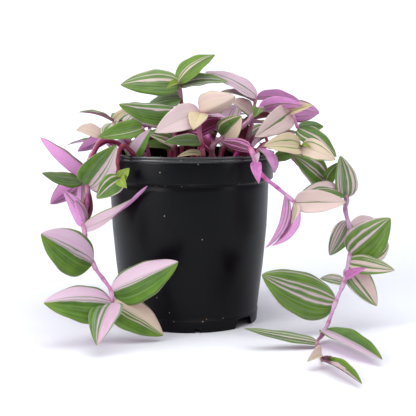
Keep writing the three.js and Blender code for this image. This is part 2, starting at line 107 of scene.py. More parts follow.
def piece(name, vertices, faces, *materials):
    """A smooth-shaded mesh object at the origin, from vertices in millimetres."""
    mesh = bpy.data.meshes.new(name)
    mesh.from_pydata((np.asarray(vertices) / 1000).tolist(), [], faces)
    for material in materials:
        mesh.materials.append(material)
    mesh.polygons.foreach_set("use_smooth", np.ones(len(mesh.polygons), bool))
    obj = bpy.data.objects.new(name, mesh)
    scene.collection.objects.link(obj)
    return obj


def white_paper(add):
    """Matt white seamless paper: almost no gloss. It glows a little where it rises behind the pot:
    a painted glow, emission that stands in for paper lit from behind."""
    split = add("SeparateXYZ", {0: add("TexCoord").outputs["Object"]})
    # Painted glow: emission that rises from none 0.3 m behind the middle to 0.48 at 1.4 m.
    glow = add("MapRange", {0: split.outputs[1], 1: 0.3, 2: 1.4, 4: 0.48})
    return add("BsdfPrincipled", {
        "Base Color": "#F4F6FA", "Roughness": 0.9, "Emission Color": "#F6F8FF",
        "Emission Strength": glow,
    })


def paper_sweep():
    """A strip 8 m wide. Its outline is the floor, a quarter circle, and an upright."""
    front, start, radius, top = -3500, 1500, 1300, 4200
    bend = np.linspace(-90, 0, 25) * np.pi / 180
    depth = np.concatenate([[front], start + radius * np.cos(bend), [start + radius]])
    height = np.concatenate([[0], radius + radius * np.sin(bend), [top]])
    side = np.array([-4000, 4000])
    grid = np.stack(np.broadcast_arrays(side[None, :], depth[:, None], height[:, None]), axis=-1)
    row = 2 * np.arange(len(depth) - 1)[:, None]
    return grid.reshape(-1, 3), (row + np.array([0, 1, 3, 2])).tolist()


def softbox(name, place, aim, width, height, watts):
    """A rectangular light that faces a point."""
    light = bpy.data.lights.new(name, "AREA")
    light.shape = "RECTANGLE"
    light.size = width
    light.size_y = height
    light.energy = watts
    obj = bpy.data.objects.new(name, light)
    obj.location = place
    obj.rotation_euler = (Vector(aim) - Vector(place)).to_track_quat("-Z", "Y").to_euler()
    scene.collection.objects.link(obj)


sweep = piece("paper_sweep", *paper_sweep(), made_of("seamless_paper", white_paper))
softbox("left_box", (-1.25, -0.95, 0.75), (0, 0, 0.1), 0.9, 1.3, 18.5)
softbox("top_box", (0.1, -0.3, 1.5), (0, 0, 0.1), 1.6, 1.4, 15.5)
softbox("right_box", (1.5, -0.9, 0.7), (0, 0, 0.1), 0.5, 1.2, 5)
world = bpy.data.worlds.new("room")
world.use_nodes = True
world.node_tree.nodes["Background"].inputs["Color"].default_value = linear("#F2F5FF")
world.node_tree.nodes["Background"].inputs["Strength"].default_value = 0.42
scene.world = world

# --- Pot --------
# A round nursery pot: one injection-moulded shell of black polypropylene with a beaded lip, a
# straight collar, a shoulder, a bulging body and a foot band with notches for the water. Its
# sizes, and those of the soil and the plant, are in millimetres.

pot_height = 131
lip_radius = 65.6
collar_radius = 64.8
collar_bottom = 110.4
foot_radius = 52.5
wall = 1.6
floor_thickness = 1.5
shelf_height = 8
centre_radius = 30
lip_depth = 4.5
foot_band = 9.6
notch_reach = 48, 56
large_notch_azimuth = 52
small_notch_azimuth = 6
hole_radius = 4
hole_ring = 44.5
body_wall = [(52.9, 9.8), (57.2, 44), (59.9, 73), (60.9, 95), (61.2, 106)]


def softened(chain, radius, steps=4):
    """The chain of [radius, height] with each inner corner rounded: a quadratic curve that leaves
    the corner's sides at that radius from it, or at 0.45 of a shorter side."""
    corners = np.array(chain, float)
    middle = corners[1:-1]
    ends = []
    for side in (corners[:-2] - middle, corners[2:] - middle):
        length = np.linalg.norm(side, axis=1, keepdims=True)
        ends.append(middle + side * np.minimum(radius / length, 0.45))
    t = np.linspace(0, 1, steps)[None, :, None]
    start, end = (side[:, None] for side in ends)
    curve = (1 - t) ** 2 * start + 2 * t * (1 - t) * middle[:, None] + t**2 * end
    return np.vstack([corners[:1], curve.reshape(-1, 2), corners[-1:]])


def skin(rings, first, last):
    """Vertices and faces of a closed surface: rings of points joined by quads, each end closed by
    triangles to one point."""
    count, around = rings.shape[:2]
    ring = np.arange(count * around).reshape(count, around)
    beside = np.roll(ring, -1, axis=1)
    quads = np.stack([ring[:-1], beside[:-1], beside[1:], ring[1:]], axis=-1).reshape(-1, 4)
    foot = np.stack([beside[0], ring[0], np.full(around, count * around)], axis=-1)
    head = np.stack([ring[-1], beside[-1], np.full(around, count * around + 1)], axis=-1)
    vertices = np.vstack([rings.reshape(-1, 3), [first], [last]])
    return vertices, quads.tolist() + foot.tolist() + head.tolist()


def turned(profile, sides):
    """A profile of [radius, height] turned round Z: each point becomes a circle of that radius.
    Its two ends are on the axis."""
    angle = np.linspace(0, 2 * np.pi, sides, endpoint=False)
    radius, height = profile[1:-1, 0, None], profile[1:-1, 1, None]
    rings = [radius * np.cos(angle), radius * np.sin(angle), height + 0 * angle]
    return skin(np.stack(rings, axis=-1), (0, 0, profile[0, 1]), (0, 0, profile[-1, 1]))


def pot_profile():
    """From the middle of the underside out to the foot, up the outside, over the beaded lip and
    down the inside to the middle of the floor."""
    shelf = floor_thickness + shelf_height
    underside = [
        (0, 0), (centre_radius + 0.6, 0), (centre_radius + shelf_height + 0.6, shelf_height),
        (foot_radius - 2, shelf_height), (foot_radius - 2, 0),
    ]
    foot = [(foot_radius, 0), (foot_radius + 0.9, 8.9), (foot_radius + 0.3, 9.4)]
    shoulder = [
        (60.6, 109.2), (62.4, collar_bottom), (64.2, collar_bottom),
        (collar_radius, collar_bottom + 1.2), (collar_radius, pot_height - 4.9),
    ]
    lip = [
        (collar_radius - 0.5, pot_height - 4.6), (collar_radius - 0.5, pot_height - 4.2),
        (lip_radius, pot_height - 3.7), (lip_radius, pot_height - 2.3),
        (lip_radius - 0.7, pot_height - 1.9), (lip_radius - 0.7, pot_height - 1.6),
        (lip_radius, pot_height - 1.3), (lip_radius, pot_height), (lip_radius - 3, pot_height),
        (collar_radius - wall, pot_height - 3.5),
    ]
    inside = [
        (collar_radius - wall, collar_bottom + 1.5), (59.6, 107.5),
        (body_wall[2][0] - wall, body_wall[2][1]), (body_wall[1][0] - wall, body_wall[1][1]),
        (foot_radius - wall, shelf), (centre_radius + shelf_height, shelf),
        (centre_radius, floor_thickness), (0, floor_thickness),
    ]
    return softened(underside + foot + body_wall + shoulder + lip + inside, 0.45)


def prism(outline, from_radius, to_radius, azimuth):
    """A closed bar along a radius of the pot. Its outline stands upright, [width, height]; azimuth
    runs from the front towards +X."""
    width, height = np.array(outline, float).T
    angle = math.radians(azimuth)
    outward = np.array([math.sin(angle), -math.cos(angle), 0])
    sideways = np.array([math.cos(angle), math.sin(angle), 0])
    section = width[:, None] * sideways + height[:, None] * np.array([0, 0, 1])
    rings = section[None] + outward * np.array([from_radius, to_radius])[:, None, None]
    return skin(rings, rings[0].mean(axis=0), rings[1].mean(axis=0))


def drain_hole(azimuth):
    """An upright round bar through the ring of the floor."""
    angle = math.radians(azimuth)
    around = np.linspace(0, 2 * np.pi, 40, endpoint=False)
    circle = hole_radius * np.stack([np.cos(around), np.sin(around), 0 * around], axis=-1)
    circle += hole_ring * np.array([math.sin(angle), -math.cos(angle), 0])
    rings = circle[None] + np.array([0, 0, 1]) * np.array([5, 12])[:, None, None]
    return skin(rings, rings[0].mean(axis=0), rings[1].mean(axis=0))


def joined(parts):
    """Several (vertices, faces) as one."""
    vertices, faces, count = [], [], 0
    for part_vertices, part_faces in parts:
        vertices.append(part_vertices)
        faces += [[corner + count for corner in face] for face in part_faces]
        count += len(part_vertices)
    return np.vstack(vertices), faces


def cut_out(obj, cutter):
    """Takes the cutter's shape out of the object, for good, and drops the cutter."""
    cut = obj.modifiers.new("cut", "BOOLEAN")
    cut.operation = "DIFFERENCE"
    cut.solver = "EXACT"
    cut.object = cutter
    depsgraph = bpy.context.evaluated_depsgraph_get()
    result = bpy.data.meshes.new_from_object(obj.evaluated_get(depsgraph))
    obj.modifiers.remove(cut)
    obj.data = result
    bpy.data.objects.remove(cutter)


def layered(add, colour, *layers):
    """A colour under layers of [share, colour], one over the other."""
    for share, over in layers:
        colour = add("Mix", {0: share, 6: colour, 7: over}, data_type="RGBA")
    return colour


def polypropylene(add, ior, gloss):
    """Satin mould grain about 1 mm across, a slow drift of gloss where hands have rubbed it, and a
    dry film and specks of soil, thickest under the collar, along the foot band and on the lip. The
    lip is rubbed smooth in patches."""
    place = add("TexCoord").outputs["Object"]
    height = add("SeparateXYZ", {0: place}).outputs[2]
    grain = add("TexNoise", {"Vector": place, "Scale": 1100, "Detail": 3})
    drift = add("TexNoise", {"Vector": place, "Scale": 30, "Detail": 4})
    dirty = 0
    for ledge, reach in ((collar_bottom, 2.5), (foot_band, 2.2), (pot_height - 4, 1.6)):
        off = add("Math", {0: height, 1: ledge / 1000}, operation="SUBTRACT")
        off = add("Math", {0: off}, operation="ABSOLUTE")
        near = add("MapRange", {0: off, 2: reach / 1000, 3: 1, 4: 0})
        dirty = add("Math", {0: dirty, 1: near}, operation="MAXIMUM")
    cells = add("TexVoronoi", {"Vector": place, "Scale": 330})
    chance, tone, _ = add("SeparateColor", {0: cells.outputs["Color"]}).outputs
    often = add("MapRange", {0: dirty, 3: 0.02, 4: 0.35})
    chosen = add("Math", {0: chance, 1: often}, operation="LESS_THAN")
    dot = add("MapRange", {0: cells.outputs["Distance"], 1: 0.07, 2: 0.16, 3: 1, 4: 0})
    speck = add("Math", {0: dot, 1: chosen}, operation="MULTIPLY")
    film = add("MapRange", {0: drift, 1: 0.45, 2: 0.75, 4: 0.5})
    film = add("Math", {0: film, 1: dirty}, operation="MULTIPLY")
    crumb = add("Mix", {0: tone, 6: "#B98A66", 7: "#C9BFB2"}, data_type="RGBA")
    colour = layered(add, "#050508", (film, "#302C29"), (speck, crumb))
    rough = add("MapRange", {0: drift, 1: 0.3, 2: 0.7, 3: 0.28, 4: 0.38})
    rubbed = add("TexNoise", {"Vector": place, "Scale": 60, "Detail": 2})
    rubbed = add("MapRange", {0: rubbed, 1: 0.43, 2: 0.5})
    lip = add("MapRange", {0: height, 1: (pot_height - 5) / 1000, 2: (pot_height - 4) / 1000})
    rubbed = add("Math", {0: rubbed, 1: lip}, operation="MULTIPLY")
    rough = add("Mix", {0: rubbed, 2: rough, 3: 0.12})
    rough = add("Math", {0: rough, 1: speck}, operation="MAXIMUM")
    relief = add("Math", {0: grain, 1: speck}, operation="ADD")
    bump = add("Bump", {"Height": relief, "Distance": 0.00012, "Strength": 0.35})
    return add("BsdfPrincipled", {
        "Base Color": colour, "Roughness": rough, "IOR": ior, "Normal": bump,
        "Specular IOR Level": gloss,
    })


large_notch = [(-11, -1), (11, -1), (8.5, 5.6), (6.5, 7.4), (-6.5, 7.4), (-8.5, 5.6)]
small_notch = [(-2, -1), (2, -1), (1.6, 3), (-1.6, 3)]
cuts = []
for quarter in range(4):
    turn = 90 * quarter
    cuts.append(prism(large_notch, *notch_reach, large_notch_azimuth + turn))
    cuts.append(prism(small_notch, *notch_reach, small_notch_azimuth + turn))
    cuts.append(drain_hole(large_notch_azimuth + turn))
pot = piece(
    "nursery_pot", *turned(pot_profile(), 256),
    made_of("black_polypropylene", polypropylene, ior=1.49, gloss=0.15),
    made_of("rubbed_polypropylene", polypropylene, ior=1.7, gloss=0.6),
)
cut_out(pot, piece("pot_cutters", *joined(cuts)))

# Handling has polished the lip, so it has the glossier of the two.
centres = np.empty(3 * len(pot.data.polygons), np.float32)
pot.data.polygons.foreach_get("center", centres)
on_lip = centres[2::3] > (pot_height - lip_depth) / 1000
pot.data.polygons.foreach_set("material_index", on_lip.astype(np.int32))
pot.data.set_sharp_from_angle(angle=math.radians(38))
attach(pot, "root")
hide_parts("pot")

# --- Soil --------
# Peat compost with crumbs and pale grit, filled to a thumb's breadth under the lip. The stems
# stand in it.

soil_level = 114
soil_reach = 58
gap = 0.35


def waves(x, y, seed, length, count=14):
    """A rough but smooth field: the mean of sines in drawn directions, with lengths near the one
    given, scaled to about 1."""
    draw = np.random.default_rng(seed)
    angle = draw.uniform(0, 2 * np.pi, count)
    phase = draw.uniform(0, 2 * np.pi, count)
    rate = 2 * np.pi / (length * draw.uniform(0.7, 1.5, count))
    inner = np.cos(angle) * x[..., None] + np.sin(angle) * y[..., None]
    return np.sin(rate * inner + phase).sum(axis=-1) / math.sqrt(count)


def soil_height(x, y):
    """Slow lumps of about 2 mm with finer ones of 0.6 mm on them."""
    lump = 1.4 * np.sin(0.21 * x + 0.9) * np.cos(0.17 * y) + 0.9 * np.sin(0.43 * y - 0.3 * x)
    return soil_level + lump + 0.55 * waves(x, y, 3, 7) + 0.3 * waves(x, y, 4, 2.6)


def soil_plug():
    """Rings from the middle of the underside out to the wall, up it, and in over the top, where
    the height is the soil's own."""
    walls = [foot_radius, *(body_wall[i][0] for i in (1, 2, 4))]
    inner = [radius - wall - gap for radius in walls]
    shelf = shelf_height + floor_thickness + gap
    side = [
        (centre_radius - 0.6, floor_thickness + gap), (centre_radius + shelf_height - 0.6, shelf),
        (inner[0], shelf), (inner[1], body_wall[1][1]), (inner[2], body_wall[2][1]),
        (inner[3], 107),
    ]
    top = [(radius, soil_level) for radius in np.linspace(inner[3] - 0.6, 0.6, 56)]
    profile = np.array([(0, floor_thickness + gap), *side, *top, (0, soil_level)])
    vertices, faces = turned(profile, 200)
    x, y, z = vertices.T
    upper = z > soil_level - 1
    fade = np.clip((inner[3] - 0.6 - np.hypot(x, y)) / 4, 0, 1)
    vertices[:, 2] = np.where(upper, soil_level + fade * (soil_height(x, y) - soil_level), z)
    return vertices, faces


def crumbs(count, seed):
    """Small lumps on the soil: six-cornered rings pushed in and out at random, half sunk."""
    draw = np.random.default_rng(seed)
    distance = soil_reach * np.sqrt(draw.uniform(0, 1, count))
    angle = draw.uniform(0, 2 * np.pi, count)
    x, y = distance * np.cos(angle), distance * np.sin(angle)
    size = draw.uniform(0.5, 1.5, count)
    around = np.linspace(0, 2 * np.pi, 6, endpoint=False)
    parts = []
    for i in range(count):
        rough = draw.uniform(0.75, 1.15, (3, 6)) * np.array([0.7, 1, 0.65])[:, None] * size[i]
        level = np.array([-0.5, 0, 0.5])[:, None] * size[i] + 0 * around
        rings = np.stack([rough * np.cos(around), rough * np.sin(around), level], axis=-1)
        parts.append(skin(rings, (0, 0, -0.75 * size[i]), (0, 0, 0.75 * size[i])))
        parts[-1][0][:] += (x[i], y[i], soil_height(x[i : i + 1], y[i : i + 1])[0] + 0.2)
    return joined(parts)


def peat(add):
    """Dark brown peat, damp and matt, with fibres and grains a millimetre or so across."""
    place = add("TexCoord").outputs["Object"]
    grains = add("TexNoise", {"Vector": place, "Scale": 650, "Detail": 6})
    patches = add("TexNoise", {"Vector": place, "Scale": 120, "Detail": 3})
    shade = add("MapRange", {0: patches, 1: 0.35, 2: 0.65, 4: 0.6})
    colour = layered(add, "#1D130D", (grains, "#4A3424"), (shade, "#2A1D15"))
    bump = add("Bump", {"Height": grains, "Distance": 0.0008, "Strength": 0.8})
    return add("BsdfPrincipled", {"Base Color": colour, "Roughness": 0.95, "Normal": bump})


def pale_grit(add):
    """Perlite and grit: light grey-brown, dull, with pits."""
    place = add("TexCoord").outputs["Object"]
    pits = add("TexNoise", {"Vector": place, "Scale": 900, "Detail": 4})
    colour = add("Mix", {0: pits, 6: "#8A7B68", 7: "#D9D2C4"}, data_type="RGBA")
    bump = add("Bump", {"Height": pits, "Distance": 0.0003, "Strength": 0.6})
    return add("BsdfPrincipled", {"Base Color": colour, "Roughness": 0.85, "Normal": bump})


compost = made_of("peat_compost", peat)
soil = piece("potting_soil", *soil_plug(), compost)
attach(soil, "root")
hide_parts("soil")
grit = made_of("perlite_grit", pale_grit)
for name, count, seed, material in (
    ("soil_crumbs", 520, 11, compost), ("soil_grit", 110, 12, grit),
):
    loose = piece(name, *crumbs(count, seed), material)
    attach(loose, "root")

# --- Crown stems --------
# Each leafy stem is one living shoot: a round, juicy stem with swollen nodes, and at each node a
# leaf whose foot wraps the stem as a sheath. These three hold the leaves at the top.

stem_radius = 1.9
stem_tip_radius = 1.15
stem_foot = 102
stem_rise = 116
stem_sides = 14
stem_step = 1.2
node_reach = 3.2
sheath_height = 6.5
blade_thickness = 0.55
blade_edge = 0.12

no_line = [0, -1]

# What each kind of leaf shows: the pale share of its left and right half, how cream, silver, young
# and flushed it is, from 0 to 1, and then up to four single lines, [centre, half width] across the
# half blade, which are pale on green and green on pale. Silver is how far the green is greyed,
# partly in streaks of painted sheen.
looks = {
    "pink_right": (0, 1, 0, 0.25, 0, 0, [0.12, 0.026], [-0.08, 0.03]),
    "pink_right_lined": (0, 1, 0.25, 0.5, 0, 0.1, [0.17, 0.045], [0.36, 0.02]),
    "banded_right": (0, 0, 0.4, 0.5, 0, 0.05, [0.64, 0.24], [0.17, 0.03], [-0.05, 0.02]),
    "pink_left": (1, 0, 0.05, 0.25, 0, 0.05, [0.13, 0.024]),
    "peach_left": (1, 0, 0.75, 0.25, 0, 0, [0.14, 0.026], [0.32, 0.022]),
    "pink": (1, 1, 0.35, 0, 0, 0),
    "pink_lined": (1, 1, 0.1, 0.6, 0, 0.1, [0.25, 0.05], [-0.2, 0.03], [-0.5, 0.03]),
    "pink_banded": (1, 1, 0.45, 0.3, 0, 0, [0, 0.08]),
    "peach": (1, 1, 0.62, 0, 0, 0),
    "peach_lined": (1, 1, 0.5, 0.2, 0.1, 0.1, [0.02, 0.03]),
    "pale_peach": (1, 1, 0.5, 0.3, 0, 0, [-0.8, 0.1]),
    "cream": (1, 1, 1, 0, 0.25, 0),
    "cream_yellow": (1, 1, 1, 0, 0.6, 0, [0.05, 0.07]),
    "cream_lined": (1, 1, 0.95, 0.3, 0.4, 0, [0.34, 0.05], [-0.36, 0.05]),
    "cream_edged": (1, 1, 0.75, 0.3, 0.3, 0, [-0.62, 0.05], [0.95, 0.12]),
    "cream_right": (0.3, 0.95, 0.8, 0.5, 0.1, 0),
    "cream_left": (0.97, 0.6, 0.55, 0.7, 0, 0, [-0.95, 0.06]),
    "striped": (0.5, 0.5, 0.5, 0.8, 0.1, 0),
    "striped_right": (0.35, 0.55, 0.5, 0.8, 0.1, 0),
    "two_lines_left": (0, 0, 0.6, 0.35, 0.2, 0, [-0.17, 0.055], [-0.38, 0.03]),
    "three_lines": (0, 0, 0.2, 0.6, 0.1, 0.1, [0.27, 0.028], [0, 0.045], [-0.27, 0.04],
                    [0.84, 0.02]),
    "edge_lined": (0, 0, 0.3, 0.5, 0, 0.1, [-0.97, 0.08], [-0.13, 0.035], [0.12, 0.03],
                   [0.62, 0.05]),
    "lined_left": (0, 0, 0.25, 0.5, 0.15, 0.05, [-0.12, 0.07], [-0.5, 0.05], [-0.93, 0.06]),
    "lined": (0, 0, 0.3, 0.6, 0.1, 0, [-0.45, 0.04], [0.05, 0.04], [0.5, 0.04], [0.93, 0.05]),
    "ribbed": (0, 0, 0.35, 0.4, 0, 0, [0.02, 0.075], [0.62, 0.05], [-0.94, 0.05]),
    "silver_banded": (0, 0, 0.5, 0.9, 0.1, 0, [0.13, 0.09], [0.55, 0.03], [0.96, 0.04]),
    "silver_lined": (0, 0, 0.5, 1, 0, 0, [-0.3, 0.045], [0.3, 0.06], [0.68, 0.04]),
    "silver": (0.25, 0.3, 0.35, 1, 0, 0, [0.2, 0.05], [0.62, 0.09], [0.98, 0.1],
               [-0.4, 0.05]),
    "grey_green": (0, 0, 0.5, 1, 0, 0, [0.95, 0.04]),
    "grey_lilac": (1, 0.2, 0.05, 1, 0, 0.4, [0.3, 0.05], [-0.93, 0.08]),
    "green": (0, 0, 0.3, 0.3, 0.1, 0, [-0.3, 0.02]),
    "green_edged": (0, 0, 0.3, 0.5, 0.2, 0.1, [0, 0.36], [0.08, 0.05]),
    "young": (0.1, 0.1, 1, 0, 1, 0, [0, 0.05]),
    "young_cream": (0.7, 0.98, 0.6, 0.3, 0.8, 0),
    "lilac": (0.86, 0.8, 0.1, 0.8, 0.55, 0.2, [0.1, 0.03], [-0.96, 0.07]),
    "lilac_lined": (0.95, 1, 0, 0.2, 0.8, 0.35, [0.12, 0.07], [-0.93, 0.09]),
    "mauve": (0.45, 0.45, 0.3, 0.6, 0, 0.6),
    "magenta": (1, 1, 0, 0, 0.3, 0.65),
    "maroon": (0.08, 0.08, 0.2, 0.2, 0, 0.5),
    "crimson": (0.3, 0.3, 0.2, 0, 0, 0.9),
}


def spread(seed):
    """An even spread from 0 to 1, the same on every run: the fraction of
    sin(12.9898 seed + 4.1) * 43758.5453."""
    value = math.sin(seed * 12.9898 + 4.1) * 43758.5453
    return value - math.floor(value)


def along_route(route, at):
    """Points of the smooth curve through the route at node numbers, whole or broken. Each span is
    the cubic whose slope at a node is half the step between that node's neighbours."""
    nodes = np.array(route, float)
    nodes = np.vstack([2 * nodes[0] - nodes[1], nodes, 2 * nodes[-1] - nodes[-2]])
    at = np.atleast_1d(np.asarray(at, float))
    span = np.minimum(np.floor(at).astype(int), len(route) - 2)
    t = (at - span)[:, None]
    before, start, end, after = (nodes[span + k] for k in range(4))
    slopes = (end - before) / 2, (after - start) / 2
    square = 3 * (end - start) - 2 * slopes[0] - slopes[1]
    cube = 2 * (start - end) + slopes[0] + slopes[1]
    return start + slopes[0] * t + square * t**2 + cube * t**3


def unit(vectors):
    """The vectors at length 1."""
    return vectors / np.linalg.norm(vectors, axis=-1, keepdims=True)


def stem_body(route, sheaths):
    """A round tube along the curve. Its radius falls evenly from root to tip, swells by a fifth
    within about 3 mm of a node, and is a sheath's thickness more for 6 mm above a leaf. With it
    come its map and, by vertex, its place from 0 to 1, how near a node it is, and its sheath."""
    spans = len(route) - 1
    lengths = np.linalg.norm(np.diff(np.array(route, float), axis=0), axis=1)
    steps = [np.arange(n) / n for n in np.ceil(lengths / stem_step).astype(int)]
    at = np.concatenate([span + step for span, step in enumerate(steps)] + [[spans]])
    centre = along_route(route, at)
    tangent = unit(np.gradient(centre, axis=0))
    walked = np.concatenate([[0], np.cumsum(np.linalg.norm(np.diff(centre, axis=0), axis=1))])
    nodes = np.interp(np.arange(2, spans + 1), at, walked)
    swell = np.exp(-(((walked[:, None] - nodes) / node_reach) ** 2)).max(axis=1)
    above = walked[:, None] - np.interp(sheaths, at, walked)
    sheath = np.clip((above + 1.5) / 1.5, 0, 1) * np.clip((sheath_height - above) / 0.8, 0, 1)
    flare = (sheath * (0.22 + 0.05 * np.clip(above, 0, sheath_height))).max(axis=1)
    thin = stem_radius + (stem_tip_radius - stem_radius) * at / spans
    radius = thin * (1 + 0.2 * swell) + flare
    radius[-1] *= 0.6
    plane = np.linalg.svd(centre - centre.mean(axis=0))[2][2]
    side = unit(plane - tangent * (tangent @ plane)[:, None])
    other = np.cross(tangent, side)
    angle = np.linspace(0, 2 * np.pi, stem_sides, endpoint=False)
    spokes = np.cos(angle)[:, None] * side[:, None] + np.sin(angle)[:, None] * other[:, None]
    rings = centre[:, None] + spokes * radius[:, None, None]
    vertices, faces = skin(rings, centre[0] - tangent[0], centre[-1] + tangent[-1] * 0.8)
    by_ring = [at / spans, swell, sheath.max(axis=1), 0 * at, walked / 10]
    ends = [(0, 1), (0, 0), (0, 0), (0, 0), (0, walked[-1] / 10)]
    layers = [np.append(np.repeat(ring, stem_sides), end) for ring, end in zip(by_ring, ends)]
    around = np.append(np.tile(angle / (2 * np.pi), len(at)), (0, 0))
    return vertices, faces, np.stack([around, layers.pop()], axis=-1), np.stack(layers, axis=-1)


def leaf_frame(leaf):
    """Along the blade from foot to tip, across it, and out of its upper face."""
    reach = leaf["tip"] - leaf["foot"]
    along = unit(reach)
    across = unit(np.cross(along, leaf["face"]))
    return along, across, np.cross(across, along), np.linalg.norm(reach)


def swung(vector, axis, angle):
    """The vector turned about an axis that it may be at any slope to, by Rodrigues' formula."""
    cos, sin = math.cos(math.radians(angle)), math.sin(math.radians(angle))
    return vector * cos + np.cross(axis, vector) * sin + axis * np.dot(axis, vector) * (1 - cos)


# A crowded leaf may turn in its sheath: [sideways in its own plane, towards its upper face].
turns = [
    (0, 0), (0, 7), (0, -7), (8, 0), (-8, 0), (0, 14), (0, -14), (10, 9), (-10, 9), (10, -9),
    (-10, -9), (17, 0), (-17, 0), (0, 22), (0, -22), (18, 15), (-18, 15), (18, -15), (-18, -15),
    (28, 0), (-28, 0), (0, 32), (0, -32), (28, 24), (-28, 24), (28, -24), (-28, -24),
]


def settled(leaf, corners):
    """The leaf in the turn that its solid took, which has a corner within 1 mm of its tip, or
    None."""
    _, across, out, _ = leaf_frame(leaf)
    for sideways, upwards in turns:
        reach = swung(swung(leaf["tip"] - leaf["foot"], out, sideways), across, upwards)
        tip = leaf["foot"] + reach
        if np.linalg.norm(corners - tip, axis=1).min() < 1:
            return {**leaf, "tip": tip, "face": swung(out, across, upwards)}
    return None


def blade(leaf, rows=40, columns=21):
    """A blade as rings, each over the upper face from edge to edge and back under the lower. Half
    its width is ovate, s**0.38 (1 - s)**0.8, which is 0.4764 at its widest. The midrib bows by the
    arch and sways a little; the halves rise by the fold, partly as a crease and partly as a bowl;
    the edges ripple. With it come its map and each face's skin, 0 above and 1 below."""
    along, across, out, length = leaf_frame(leaf)
    fold = math.radians(leaf["fold"])
    seed = leaf["seed"]
    share = (1 - np.cos(np.linspace(0, np.pi * 0.97, rows))) / 2
    shape = (0.001 + 0.999 * share) ** 0.38 * (0.999 * (1 - share)) ** 0.8 / 0.4764
    half = shape * leaf["width"] / 2
    edge = np.linspace(-1, 1, columns)
    edge = np.concatenate([edge, edge[-2:0:-1]])[None, :]
    upper = np.arange(edge.size)[None, :] < columns
    turn = np.radians(leaf["twist"]) * share
    flat = across * np.cos(turn)[:, None] + out * np.sin(turn)[:, None]
    up = out * np.cos(turn)[:, None] - across * np.sin(turn)[:, None]
    rise = leaf["arch"] * length * 4 * share * (1 - share)
    sway = 0.05 * (spread(seed + 2) - 0.5) * length * np.sin(np.pi * share)
    middle = leaf["foot"] + along * (length * share)[:, None]
    middle = middle + out * rise[:, None] + across * sway[:, None]
    crease = np.sqrt(edge**2 + 0.003) - 0.0548
    bowl = math.sin(fold) * (0.6 * crease + 0.4 * edge**2) * half[:, None]
    ripple = 0.5 * np.sin(2 * np.pi * (2.6 * share[:, None] + spread(seed) + 0.37 * (edge > 0)))
    ripple = ripple * edge**4 * (half[:, None] / 12)
    depth = blade_edge + (blade_thickness - blade_edge) * (1 - edge**4)
    depth = depth * np.clip(half[:, None] / 4, 0.15, 1) * (1 - (np.abs(edge) > 0.999))
    rib = np.exp(-((edge / 0.07) ** 2)) * np.clip(1.1 - share[:, None], 0, 1)
    offset = np.where(upper, depth / 2 - 0.18 * rib, -depth / 2 - 0.4 * rib)
    spot = middle[:, None] + flat[:, None] * (math.cos(fold) * edge * half[:, None])[..., None]
    rings = spot + up[:, None] * (bowl + ripple + offset)[..., None]
    tip = middle[-1] + along * length * (1 - share[-1])
    vertices, faces = skin(rings, rings[0].mean(axis=0), tip)
    uv = np.stack(np.broadcast_arrays(edge, share[:, None]), axis=-1).reshape(-1, 2)
    uv = np.vstack([uv, [[0, 0], [0, 1]]])
    top = np.arange(edge.size) < columns - 1
    side = np.concatenate([np.tile(top, rows - 1), top, top])
    return vertices, faces, uv, np.where(side, 0, 1)


def leafy_stem(name, colours, root, route, *rows):
    """The stem and its leaves as one piece, kept inside the box of the solids. The stem's colour
    runs evenly through the given ones from root to tip. It stands upright in the soil at the root,
    and the route goes on from there. A row is the leaf's look, its place along the route, its tip,
    its width, the way its upper face looks, its arch and fold, and its twist if it has one."""
    route = [[*root, stem_foot], [*root, stem_rise], *route]
    corners = np.empty(len(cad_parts[name].data.vertices) * 3, np.float32)
    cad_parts[name].data.vertices.foreach_get("co", corners)
    corners = corners.reshape(-1, 3) * 1000
    stem_vertices, stem_faces, uv, wood = stem_body(route, [row[1] for row in rows])
    parts = [(stem_vertices, stem_faces)]
    uvs, kinds = [uv], [np.full(len(stem_faces), 2)]
    colours = np.array([linear(colour) for colour in colours])
    stops = np.linspace(0, 1, len(colours))
    tint = np.stack([np.interp(wood[:, 0], stops, channel) for channel in colours.T], axis=-1)
    pales, tones, marks = [wood], [tint], [np.zeros((len(wood), 8))]
    for i, row in enumerate(rows):
        look, at, x, y, z, width, *face = row[:9]
        arch, fold, twist = [*row[9:], 0][:3]
        seed = i + sum(name.encode())
        leaf = {
            "foot": along_route(route, at)[0], "tip": np.array([x, y, z], float), "width": width,
            "face": np.array(face, float), "arch": arch, "fold": fold, "twist": twist, "seed": seed,
        }
        leaf = settled(leaf, corners)
        if leaf is None:
            continue
        vertices, faces, uv, kind = blade(leaf)
        left, right, cream, silver, young, flushed, *lines = looks[look]
        lines = np.array((lines + [no_line] * 4)[:4], float).ravel()
        parts.append((vertices, faces))
        uvs.append(uv)
        kinds.append(kind)
        pales.append(np.tile([left, right, spread(seed + 5), silver], (len(vertices), 1)))
        tones.append(np.tile([cream, young, flushed, 0], (len(vertices), 1)))
        marks.append(np.tile(lines, (len(vertices), 1)))
    vertices, faces = joined(parts)
    vertices = np.clip(vertices, *(1000 * np.array(cad_box)))
    obj = piece("leafy_" + name, vertices, faces, *plant_skins)
    mesh = obj.data
    mesh.polygons.foreach_set("material_index", np.concatenate(kinds).astype(np.int32))
    corner = np.empty(len(mesh.loops), np.int32)
    mesh.loops.foreach_get("vertex_index", corner)
    mesh.uv_layers.new(name="UVMap").uv.foreach_set("vector", np.vstack(uvs)[corner].ravel())
    near, far = np.split(np.vstack(marks), 2, axis=1)
    pale, tone = np.vstack(pales), np.vstack(tones)
    layers = {"pale": pale, "tone": tone, "near_lines": near, "far_lines": far}
    for layer, values in layers.items():
        attribute = mesh.attributes.new(layer, "FLOAT_COLOR", "POINT")
        attribute.data.foreach_set("color", values.ravel())
    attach(obj, "root")
    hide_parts(name)


